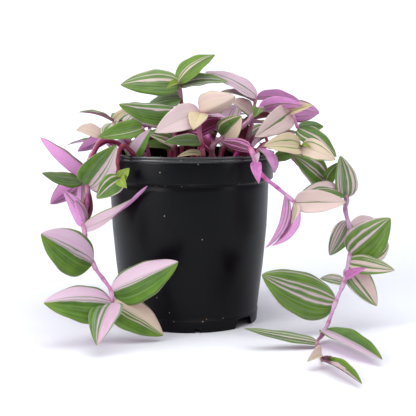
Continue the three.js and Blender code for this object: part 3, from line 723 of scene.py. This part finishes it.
def leaf_skin(add, green, deep, grey, fresh, pale, cream, flush, rib_line, roughness):
    """A living leaf's epidermis: satin, with fine ribs along it. Its colour runs in clonal stripes
    from foot to tip: lanes across the blade, each pale if its draw is under the share of its half,
    and the leaf's own lines over them. Beside the pale tissue the green is greyed, and streaks of
    grey over it are a painted sheen."""
    across, along, _ = add("SeparateXYZ", {0: add("UVMap")}).outputs
    layers = []
    for layer in ("pale", "tone", "near_lines", "far_lines"):
        attribute = add("Attribute", attribute_name=layer)
        parts = add("SeparateColor", {0: attribute.outputs["Color"]}).outputs
        layers.append([*parts, attribute.outputs["Alpha"]])
    (left, right, seed, silver), (creamy, young, flushed, _), *lines = layers
    slice_ = add("Math", {0: seed, 1: 37}, operation="MULTIPLY")

    # The lanes: they follow the blade's outline and wander very little on the way to the tip.
    slow = add("Math", {0: along, 1: 2.2}, operation="MULTIPLY")
    path = add("CombineXYZ", {0: across, 1: slow, 2: slice_})
    uneven = add("TexNoise", {"Vector": path, "Scale": 1.6, "Detail": 2})
    bent = add("MapRange", {0: uneven, 1: 0.2, 2: 0.8, 3: -0.04, 4: 0.04}, clamp=False)
    lane = add("Math", {0: across, 1: bent}, operation="ADD")
    slower = add("Math", {0: along, 1: 0.07}, operation="MULTIPLY")
    lanes = add("CombineXYZ", {0: lane, 1: slower, 2: slice_})
    draws = []
    for scale, channel in ((3.2, 0), (9, 1)):
        cells = add("TexVoronoi", {"Vector": lanes, "Scale": scale}).outputs["Color"]
        draws.append(add("SeparateColor", {0: cells}).outputs[channel])
    draw = add("Mix", {0: 0.4, 2: draws[0], 3: draws[1]})

    # The two halves meet just beyond the midrib, on the greener side.
    lean = add("Math", {0: left, 1: right}, operation="SUBTRACT")
    uneven_halves = add("Math", {0: lean}, operation="ABSOLUTE")
    lean = add("Math", {0: lean, 1: 0.06}, operation="MULTIPLY")
    off = add("Math", {0: lane, 1: lean}, operation="SUBTRACT")
    half = add("MapRange", {0: off, 1: -0.04, 2: 0.04})
    share = add("Mix", {0: half, 2: left, 3: right})
    room = add("Math", {0: share, 1: draw}, operation="SUBTRACT")
    paled = add("MapRange", {0: room, 1: -0.01, 2: 0.02})
    greyed_and_painted_sheen = add("MapRange", {0: room, 1: -0.2, 2: -0.02, 4: 0.8})
    beside = add("Math", {0: off}, operation="ABSOLUTE")
    beside = add("MapRange", {0: beside, 1: 0.16, 2: 0.04, 4: 0.9})
    beside = add("Math", {0: beside, 1: uneven_halves}, operation="MULTIPLY")
    greyed_and_painted_sheen = add("Math", {0: greyed_and_painted_sheen, 1: beside}, operation="MAXIMUM")

    # The leaf's own lines: thick and thin by turns, and thinner towards the tip.
    swelling = add("MapRange", {0: uneven, 1: 0.3, 2: 0.7, 3: 0.7, 4: 1.4})
    fading = add("MapRange", {0: along, 1: 0.5, 3: 1, 4: 0.55})
    swelling = add("Math", {0: swelling, 1: fading}, operation="MULTIPLY")
    for centre, reach in [marks[i : i + 2] for marks in lines for i in (0, 2)]:
        off = add("Math", {0: lane, 1: centre}, operation="SUBTRACT")
        off = add("Math", {0: off}, operation="ABSOLUTE")
        reach = add("Math", {0: reach, 1: swelling}, operation="MULTIPLY")
        room = add("Math", {0: reach, 1: off}, operation="SUBTRACT")
        drawn = add("MapRange", {0: room, 1: -0.035, 2: 0.03})
        paled = add("Math", {0: paled, 1: drawn}, operation="SUBTRACT")
        paled = add("Math", {0: paled}, operation="ABSOLUTE")
        near = add("MapRange", {0: room, 1: -0.11, 2: 0, 4: 0.8})
        greyed_and_painted_sheen = add("Math", {0: greyed_and_painted_sheen, 1: near}, operation="MAXIMUM")

    # The greens: streaked along the blade, deeper by the midrib, greyed beside the pale tissue,
    # and greyed in streaks of painted sheen.
    aside = add("Math", {0: across}, operation="ABSOLUTE")
    streaked = add("CombineXYZ", {0: across, 1: slower, 2: slice_})
    streaks = add("TexNoise", {"Vector": streaked, "Scale": 9, "Detail": 4})
    cloud = add("TexNoise", {"Vector": path, "Scale": 2.5, "Detail": 3})
    mottle = add("Mix", {0: 0.45, 2: streaks, 3: cloud})
    mottle = add("MapRange", {0: mottle, 1: 0.38, 2: 0.62})
    outer = add("MapRange", {0: aside, 1: 0.1, 2: 0.9})
    bright = add("Mix", {0: 0.4, 2: mottle, 3: outer})
    # Painted sheen: streaks of grey, scaled by the leaf's silver, that stand in for light off the
    # blade.
    painted_sheen = add("TexNoise", {"Vector": streaked, "Scale": 14, "Detail": 3})
    painted_sheen = add("MapRange", {0: painted_sheen, 1: 0.42, 2: 0.62, 4: 0.75})
    greyed_and_painted_sheen = add("Math", {0: greyed_and_painted_sheen, 1: painted_sheen}, operation="MAXIMUM")
    greyed_and_painted_sheen = add("Math", {0: greyed_and_painted_sheen, 1: silver}, operation="MULTIPLY")
    tender = add("MapRange", {0: along, 1: 0.72, 4: 0.4})
    tender = add("Math", {0: tender, 1: young}, operation="MAXIMUM")
    greens = layered(add, deep, (bright, green), (greyed_and_painted_sheen, grey), (tender, fresh))

    # The pale tissue: pink or cream, flushed at the foot, with faint streaks.
    blush = add("MapRange", {0: along, 1: 0.3, 2: 0, 4: 0.5})
    blush = add("Math", {0: blush, 1: mottle}, operation="MULTIPLY")
    faint = add("MapRange", {0: streaks, 1: 0.45, 2: 0.7, 4: 0.25})
    patch = add("MapRange", {0: cloud, 1: 0.3, 2: 0.6, 3: 0.35})
    patch = add("Math", {0: patch, 1: flushed}, operation="MULTIPLY")
    for other in (faint, patch):
        blush = add("Math", {0: blush, 1: other}, operation="MAXIMUM")
    pales = layered(add, pale, (creamy, cream), (blush, flush))

    # On a leaf with one pale half, a green rim that narrows towards the tip. On all, a thin light
    # edge and a soft line along the midrib.
    start = add("MapRange", {0: along, 2: 0.8, 3: 0.74})
    rim = add("Math", {0: aside, 1: start}, operation="SUBTRACT")
    rim = add("MapRange", {0: rim, 1: -0.01, 2: 0.02})
    two_toned = add("Math", {0: uneven_halves, 1: 0.6}, operation="GREATER_THAN")
    rim = add("Math", {0: rim, 1: two_toned}, operation="MULTIPLY")
    paled = add("Math", {0: paled, 1: rim}, operation="SUBTRACT", use_clamp=True)
    edge = add("MapRange", {0: aside, 1: 0.955, 2: 0.985, 4: 0.45})
    midrib = add("MapRange", {0: aside, 1: 0.06, 2: 0, 4: 0.3})
    colour = layered(add, greens, (paled, pales), (edge, cream), (midrib, rib_line))

    # Fine parallel ribs, six on each half, that catch the light.
    ribs = add("Math", {0: across, 1: 6 * 2 * math.pi}, operation="MULTIPLY")
    ribs = add("Math", {0: ribs}, operation="COSINE")
    place = add("TexCoord").outputs["Object"]
    grain = add("TexNoise", {"Vector": place, "Scale": 900, "Detail": 2})
    relief = add("Math", {0: ribs, 1: grain}, operation="ADD")
    bump = add("Bump", {"Height": relief, "Distance": 0.00006, "Strength": 0.8})
    surface = add("BsdfPrincipled", {
        "Base Color": colour, "Roughness": roughness, "IOR": 1.42, "Normal": bump,
    })
    glow = add("BsdfTranslucent", {"Color": colour})
    return add("MixShader", {0: 0.28, 1: surface, 2: glow})


def stem_skin(add):
    """A juicy stem: smooth and a little shiny, streaked along its length, with darker rings at the
    nodes and paler, papery sheaths above them."""
    tint = add("Attribute", attribute_name="tone").outputs["Color"]
    parts = add("Attribute", attribute_name="pale").outputs["Color"]
    _, node, wrapped = add("SeparateColor", {0: parts}).outputs
    around, along, _ = add("SeparateXYZ", {0: add("UVMap")}).outputs
    angle = add("Math", {0: around, 1: 2 * math.pi}, operation="MULTIPLY")
    cos = add("Math", {0: angle}, operation="COSINE")
    sin = add("Math", {0: angle}, operation="SINE")
    slow = add("Math", {0: along, 1: 0.5}, operation="MULTIPLY")
    lanes = add("CombineXYZ", {0: cos, 1: sin, 2: slow})
    streak = add("TexNoise", {"Vector": lanes, "Scale": 4, "Detail": 4})
    streak = add("MapRange", {0: streak, 1: 0.4, 2: 0.65})
    dark = add("Mix", {0: 0.55, 6: tint, 7: "#7C1C36"}, data_type="RGBA")
    papery = add("Math", {0: wrapped, 1: 0.28}, operation="MULTIPLY")
    ring = add("MapRange", {0: node, 1: 0.7, 4: 0.5})
    colour = layered(add, tint, (streak, dark), (papery, "#E4C8D2"), (ring, "#92284E"))
    bump = add("Bump", {"Height": streak, "Distance": 0.0001, "Strength": 0.5})
    return add("BsdfPrincipled", {
        "Base Color": colour, "Roughness": 0.38, "IOR": 1.42, "Normal": bump,
    })


plant_skins = [
    made_of(
        "leaf_upper_skin", leaf_skin, green="#72A324", deep="#3D631A", grey="#9CAF93",
        fresh="#9DB844", pale="#E8D2E0", cream="#E8DDB0", flush="#DB9FC6", rib_line="#77713E",
        roughness=0.42,
    ),
    made_of(
        "leaf_under_skin", leaf_skin, green="#A6325C", deep="#681C38", grey="#A3918E",
        fresh="#878E62", pale="#EFB0EA", cream="#E4BCCE", flush="#D05CAE", rib_line="#A84E8A",
        roughness=0.48,
    ),
    made_of("juicy_stem", stem_skin),
]

leafy_stem(
    "stem_crown", ["#7E1F38", "#96304A", "#B46A84"], [-6, 2],
    [[-6, 1, 140], [-6, 0, 167], [-8, -2, 184]],
    ["two_lines_left", 4, 20, 8, 205, 20, -0.35, -0.75, 0.55, 0.09, 14],
    ["silver_banded", 4, -52, -12, 182, 23, 0, -0.9, 0.45, 0.06, -10],
    ["silver_lined", 3.8, 30, 4, 184, 20, 0, -0.5, 0.85, 0.08, 15],
    ["young", 3.8, -17, -22, 179.5, 10, 0.2, -0.6, 0.7, 0.15, 40],
    ["grey_green", 3.3, -34, 8, 165, 22, 0, -0.6, 0.8, 0.1, -10],
    ["grey_green", 2, -27, -6, 141, 14, 0, -0.5, 0.8, 0.1, 20],
    ["maroon", 2.5, -32, 6, 150, 16, 0, 0.9, 0.4, 0.1, 15],
    ["maroon", 1.8, 20, -2, 145, 16, 0, 0.9, 0.4, 0.1, 15],
)
leafy_stem(
    "stem_centre_left", ["#9A2444", "#BE4470", "#CC5A92"], [-16, -10],
    [[-12, -12, 138], [-9, -14, 163]],
    ["ribbed", 3, -52, -32, 168, 28, 0, -0.8, 0.6, -0.02, -32],
    ["lilac", 2.8, -43, -4, 157, 18, 0, 0.8, 0.6, 0.08, 15],
    ["striped", 2, -32, -28, 146, 12, 0, -0.9, 0.4, 0.1, 20],
    ["green", 1.8, -38, -18, 135, 12, 0, -0.6, 0.7, 0.12, 25],
    ["crimson", 2.4, 6, -8, 152, 14, 0, 0.9, 0.4, 0.1, 15],
)
leafy_stem(
    "stem_back_right", ["#8E1F44", "#C2607E", "#D6A0BC"], [36, 12],
    [[46, 14, 140], [52, 12, 172]],
    ["pink_lined", 3, 12, 16, 192, 19, -0.2, -0.5, 0.85, 0.08, 16],
    ["mauve", 2.9, 26, 0, 180, 15, 0, -0.4, 0.9, 0.06, 15],
    ["pale_peach", 2.6, 31.5, -3, 170, 15, 0, -0.85, 0.5, 0.06, 12],
    ["lilac", 3, 90, 20, 166, 18, 0.2, 0.6, 0.8, 0.09, 14],
    ["striped", 2, 76, 34, 146, 22, 0.3, 0.3, 0.9, 0.1, 14],
    ["maroon", 2.1, 18, 6, 153, 18, 0, 0.9, 0.3, 0.1, 15],
)

# --- Front stem --------
# A magenta stem that leans forward out of the pot and holds the whole pink and peach leaves.

leafy_stem(
    "stem_front", ["#B22A50", "#CA4478", "#DA66A8"], [6, -20],
    [[10, -25, 129], [7, -30, 151], [8, -32, 162]],
    ["cream", 4, 2.6, -51, 150, 15, 0, -0.8, 0.6, 0.08, 12],
    ["pink", 4, -25, -50, 148, 21, -0.1, -1, 0.25, 0.08, 10],
    ["peach", 4, 33, -50, 174, 27, -0.1, -0.84, -0.54, 0.08, -40],
    ["magenta", 3.7, 37, -23, 157, 13, 0, -0.3, 1, 0.06, 15],
    ["cream_lined", 2, -9, -47, 130, 8, 0, -0.8, 0.6, 0.08, 35],
    ["grey_green", 2.5, -18.5, -41, 140, 12, 0, -0.8, 0.6, 0.06, 15],
    ["crimson", 2.8, 28, -12, 154, 16, 0, 0.9, 0.4, 0.1, 15],
)

# --- Stems at the left of the rim --------
# Short shoots that rise or lean out over the rim at the left, red below and lilac above.

leafy_stem(
    "stem_left", ["#A62850", "#CFA6D6", "#D9CFA6"], [-42, -14],
    [[-48, -18, 135], [-54, -22, 146], [-57, -22, 155]],
    ["lined", 4, -82, -30, 162, 14, 0.1, -0.1, 1, 0.08, 20],
    ["cream_lined", 4, -41, -16, 164, 8, 0, -0.7, 0.7, 0.1, 30],
)
leafy_stem(
    "stem_left_inner", ["#8E2448", "#A85A88", "#C77BB0"], [-28, -20],
    [[-32, -26, 137], [-35, -27, 151]],
    ["green", 3, -67, -40, 144, 15, 0.1, -0.9, 0.4, 0.08, 12],
)
leafy_stem(
    "stem_left_low", ["#8E2448", "#B2507C"], [-38, -28],
    [[-44, -33, 127]],
    ["pink_left", 2, -29, -42, 150, 13, 0, -1, 0.2, 0.1, 20],
)
leafy_stem(
    "stem_rim_left", ["#5E1A2C", "#6E2434"], [-34, -38],
    [[-42, -43, 133], [-49, -48, 138], [-52, -51, 127], [-50, -53, 115]],
    ["ribbed", 5, -67, -58, 101, 16, 0, -1, 0.2, 0.1, 10],
    ["young", 5, -43, -58, 123, 10, 0, -1, 0.2, 0.1, 30],
    ["young", 5, -39, -64, 111, 9, 0, -1, 0.3, 0.1, 20],
)
leafy_stem(
    "stem_back_left", ["#8E1F44", "#C07AAE", "#CFA0C4"], [-26, 22],
    [[-48, 18, 138], [-68, 14, 141]],
    ["peach", 3, -90, 24, 146, 14, 0, -0.9, 0.5, 0.15, 40],
    ["lilac", 2.8, -88, 14, 130, 13, 0, 0.9, 0.4, 0.1, 20],
    ["striped", 2, -62, 48, 146, 22, -0.1, 0.4, 1, 0.1, 14],
)

# --- Stems that trail at the left --------
# Two long shoots that rise over the rim and hang. The lower end of the longer one carries the
# broad leaves that are pink on one side of the midrib and green on the other.

leafy_stem(
    "trailing_left_long", ["#6E1C34", "#94305A", "#C27CB4", "#C58AB8"], [-36, -4],
    [
        [-52, -9, 136], [-66, -14, 139], [-74, -18, 126], [-77, -20, 106], [-77, -26, 93],
        [-79, -35, 78], [-70, -59, 54], [-62, -68, 44], [-56, -75, 37], [-55, -79, 29],
    ],
    ["pink_right_lined", 5, -50, -35, 143, 28, 0.1, -1, 0.1, 0.06, 14],
    ["pink_right", 8, -103, -88, 80, 35, 0, -0.92, 0.4, 0.05, -22],
    ["pink_left", 10, -8, -88, 60, 35, 0.1, -0.85, 0.55, 0.06, -34],
    ["pink_right", 11, -101, -96, 33, 35, -0.1, -0.85, 0.6, 0.12, -30],
    ["grey_lilac", 11, -62, -118, 4, 23, -0.1, -0.65, 0.75, 0.08, 12],
    ["peach_left", 11, -19, -76, 4.5, 27, 0.3, -0.85, 0.5, 0.06, -12],
    ["lilac", 7.1, -30, -66, 111, 14, -0.3, -0.9, 0.3, -0.12, 20, 100],
    ["lilac", 7, -93, -28, 104, 14, 0.3, 1, 0, 0.08, 20],
    ["lilac", 7, -84, -40, 99, 9, 0.1, 1, 0.1, 0.1, 25],
    ["maroon", 6.8, -77, -14, 104, 10, 0.2, 1, 0.1, 0.08, 15],
)
leafy_stem(
    "trailing_left_high", ["#6E1C34", "#A04A78", "#E2C8D2"], [-30, 8],
    [[-48, 5, 137], [-64, 1, 144], [-76, -3, 128], [-82, -5, 110]],
    ["lilac", 5, -115, -2, 142, 22, 0.6, 0.7, 0.3, -0.1, 40],
    ["grey_green", 5, -110, -30, 117, 15, 0, -0.8, 0.6, -0.04, -12],
    ["lilac", 5, -106, -16, 92, 18, 0, 1, 0.2, 0.12, 25],
    ["lilac", 5, -84, -26, 84, 12, 0.2, 1, 0, 0.1, 20],
    ["striped", 3, -54, 32, 152, 16, -0.2, 0.3, 1, 0.1, 15],
)

# --- Stems at the right of the rim --------
# Shoots that arch out over the rim at the right, with cream and lilac leaves in a thick tuft.

leafy_stem(
    "stem_right_arching", ["#A03050", "#DBA4B8", "#DDAACB", "#D88ABE"], [22, -12],
    [
        [17, -21, 134], [25, -24, 143], [40, -20, 151], [53, -12, 164], [66, -8, 166],
        [77, -6, 161], [83, -10, 149],
    ],
    ["cream_right", 3, 38, -34, 163, 21, -0.3, -0.9, 0.2, 0.06, 14],
    ["lilac_lined", 5, 85, -21, 166.5, 14, 0, 0.8, 0.5, 0.1, 15],
    ["cream_yellow", 7, 93, -20, 167, 10, 0, -0.9, 0.4, 0.1, 30],
    ["pink_banded", 7, 48, -38, 144, 20, 0.2, -1, 0.1, 0.08, 12],
    ["lilac", 7, 99, -10, 161.5, 18, -0.1, 0.95, 0.2, 0.06, 10],
    ["grey_green", 8, 104, 2, 150, 10, 0, -0.95, 0.3, 0.06, 12],
    ["ribbed", 8, 110, -15, 125, 21, 0.4, -0.7, 0.55, 0.13, -10],
    ["lilac_lined", 6.8, 101, 6, 160, 15, 0.2, 1, 0.1, 0.08, 15],
    ["green", 5, 48, -30, 158, 10, 0, -0.9, 0.4, 0.1, 20],
    ["crimson", 2, 0, -4, 146, 13, 0, 0.9, 0.3, 0.1, 15],
)
leafy_stem(
    "stem_right_front", ["#8E1F44", "#8E1F44", "#C9B06E"], [42, -26],
    [[54, -28, 135], [72, -28, 142], [84, -23, 136]],
    ["cream_lined", 4, 54, -46, 138, 18, 0, -1, 0.4, 0.08, 14],
    ["young", 4, 90, -34, 135.5, 6, 0, -0.8, 0.5, 0.1, 45],
    ["cream_edged", 4, 108, -38, 127, 17, 0, -1, 0.3, 0.1, 14],
    ["lilac", 2, 62, -46, 118, 16, -0.6, 0.6, -0.5, -0.22, 15],
    ["crimson", 1.7, 28, -14, 133, 14, 0, 0.9, 0.4, 0.1, 15],
)
leafy_stem(
    "trailing_front_right", ["#A8285C", "#C2489C", "#D898D2"], [28, -32],
    [[37, -41, 135], [44, -51, 136], [49, -58, 123], [54, -60, 116], [63, -61, 109], [76, -60, 98]],
    ["mauve", 3, 22, -58, 142, 11, 0, 1, 0.3, 0.1, 15],
    ["lilac", 3.4, 48, -68, 127, 9, 0.2, -0.9, 0.3, 0.1, 50],
    ["magenta", 3.7, 49, -72, 113, 9, 0, 1, -0.2, -0.1, -25],
    ["peach_lined", 7, 112, -66, 99, 19, 0, -0.95, 0.3, -0.1, 25],
    ["lilac", 6.5, 54, -68, 66, 9, 0.6, 0.6, 0.4, 0.2, 25],
    ["lilac", 7, 56, -70, 70, 12, 0.6, 0.6, -0.45, 0.25, 20],
    ["young_cream", 7, 72, -72, 84, 7, 0.2, -1, 0, 0.1, 30],
)

# --- Stem that trails at the right --------
# The longest shoot: it arches out over the rim, hangs beside the pot, and its end lies along the
# surface towards the front.

leafy_stem(
    "trailing_right_long", ["#9A2450", "#A8406E", "#C7A2CC", "#D2A8D6", "#A0606A"], [42, -8],
    [
        [56, -11, 136], [70, -13, 137], [84, -11, 122], [98, -9, 113], [110, -14, 104],
        [119, -20, 97], [118, -24, 88], [121, -32, 71], [120, -38, 56], [114, -48, 37],
        [107, -58, 25], [100, -70, 12], [94, -80, 5], [89, -94, 3], [87, -138, 2.8],
    ],
    ["edge_lined", 5.4, 80, -30, 130, 22, 0, -0.9, 0.4, 0.06, 12],
    ["maroon", 3.5, 60, -26, 129, 12, 0, -0.7, 0.7, 0.06, 12],
    ["green", 5.6, 113, -18, 126, 11, -0.2, -0.8, 0.5, 0.1, 20],
    ["silver", 7, 114, -20, 129, 19, 0.2, -1, 0.1, 0.08, 12],
    ["banded_right", 7, 77, -36, 96, 18, 0, -0.6, 0.8, 0.2, 16],
    ["lined_left", 10, 146, -56, 86, 30, -0.3, -1, 0.1, 0.06, -10],
    ["silver", 8.5, 106, -28, 52, 16, -0.1, -1, 0, 0.06, 14],
    ["pink", 9, 143, -8, 79, 15, 0, -0.9, 0.4, 0.08, 14],
    ["striped_right", 10, 158, -10, 62, 24, 0, -1, 0.3, 0.08, 12],
    ["striped", 10.3, 154, -46, 53, 16, 0, -0.8, 0.5, 0.06, 14],
    ["magenta", 10.8, 128, -64, 51, 8, 0, 0.9, -0.4, -0.1, -30],
    ["cream_left", 10.4, 139, -48, 19, 19, -0.1, -1, 0, 0.08, 14],
    ["silver", 11, 97, -43, 39, 9, 0, -0.8, 0.5, 0.1, 20],
    ["three_lines", 12, 51, -80, 49, 39, 0, -0.85, 0.53, -0.02, -24],
    ["silver_lined", 15, 37.5, -99, 15, 14, 0, -0.35, 1, -0.02, 16],
    ["pink_right", 13.5, 125, -145, 5, 22, 0.1, -0.5, 0.9, 0.02, 14],
    ["green_edged", 16, 104, -192, 3, 13, 0, -0.2, 1, 0.03, 35],
    ["young_cream", 16, 75, -153, 6, 15, 0.2, -0.5, 0.8, 0.25, 45],
)

# --- Stems at the back and inside --------
# The rest of the crown, behind the stems above: a rule gives each its arch, and its leaves stand
# left and right in turn, with a pair at the tip.

# [azimuth from +X towards +Y, radius of the root, spans beyond the rim]. An upright one has none.
ruled_stems = [
    [30, 48, 1], [48, 34, 1], [66, 40, 4], [86, 30, 6], [104, 42, 3], [117, 33, 4], [146, 42, 1],
    [70, 16, 0], [122, 22, 0], [10, 22, 0],
]
back_looks = [
    "striped", "pink", "lined", "lilac", "cream_lined", "pink_left", "silver", "ribbed",
    "pink_right", "cream_right",
]


def ruled_route(azimuth, root_radius, spans, seed):
    """Up out of the soil and, for one that hangs, out to 68 mm at the rim and down by 21 mm a
    span, swaying a few degrees."""
    sway = 8 * (spread(seed) - 0.5)
    top = 6 * spread(seed + 1)
    ring = [(root_radius, stem_foot, 0), (root_radius, stem_rise, 0)]
    if spans == 0:
        ring += [(root_radius + 5, 132 + top, sway), (root_radius + 8, 146 + top, 2 * sway)]
    else:
        ring += [(root_radius + 10, 138 + top, 0), (68, 146 + top, sway)]
    for span in range(1, spans + 1):
        out = 70 + 26 * span / (span + 2)
        ring.append((out, 150 - 21 * span + top, sway + 3 * math.sin(2 * span + seed)))
    radius, height, turn = np.array(ring).T
    angle = np.radians(azimuth + turn)
    return np.stack([radius * np.cos(angle), radius * np.sin(angle), height], axis=-1)


def ruled_leaves(route, spans, seed):
    """One leaf at each node, left and right in turn, and a pair at the tip."""
    ends = len(route) - 1
    rows = []
    for turn, at in enumerate([*range(2, ends + 1), ends]):
        x, y, z = route[at]
        chance = [spread(seed * 7 + turn * 3 + step) for step in range(6)]
        heading = math.atan2(y, x) + (-1 if turn % 2 else 1) * (0.5 + 0.7 * chance[0])
        length = 36 + 13 * chance[1]
        level = 0.75 if spans == 0 else 0.95
        rise = 0.05 + 0.3 * chance[2] if spans == 0 else 0.4 * chance[2] - 0.25
        lean = heading + (math.pi if spans == 0 else 0)
        rows.append([
            back_looks[int(10 * spread(seed * 3 + turn)) % 10], at,
            x + length * level * math.cos(heading), y + length * level * math.sin(heading),
            max(z + length * rise, 8), length * (0.46 + 0.1 * chance[3]), 0.35 * math.cos(lean),
            0.35 * math.sin(lean), 1, 0.06 + 0.08 * chance[4], 12 + 10 * chance[5],
        ])
    return rows


for i, (azimuth, root_radius, spans) in enumerate(ruled_stems):
    seed = 31 + 17 * i
    route = ruled_route(azimuth, root_radius, spans, seed)
    rows = ruled_leaves(route, spans, seed)
    leafy_stem(f"stem_back_{i + 1}", ["#9A2444", "#B8547C"], route[0, :2], route[2:], *rows)
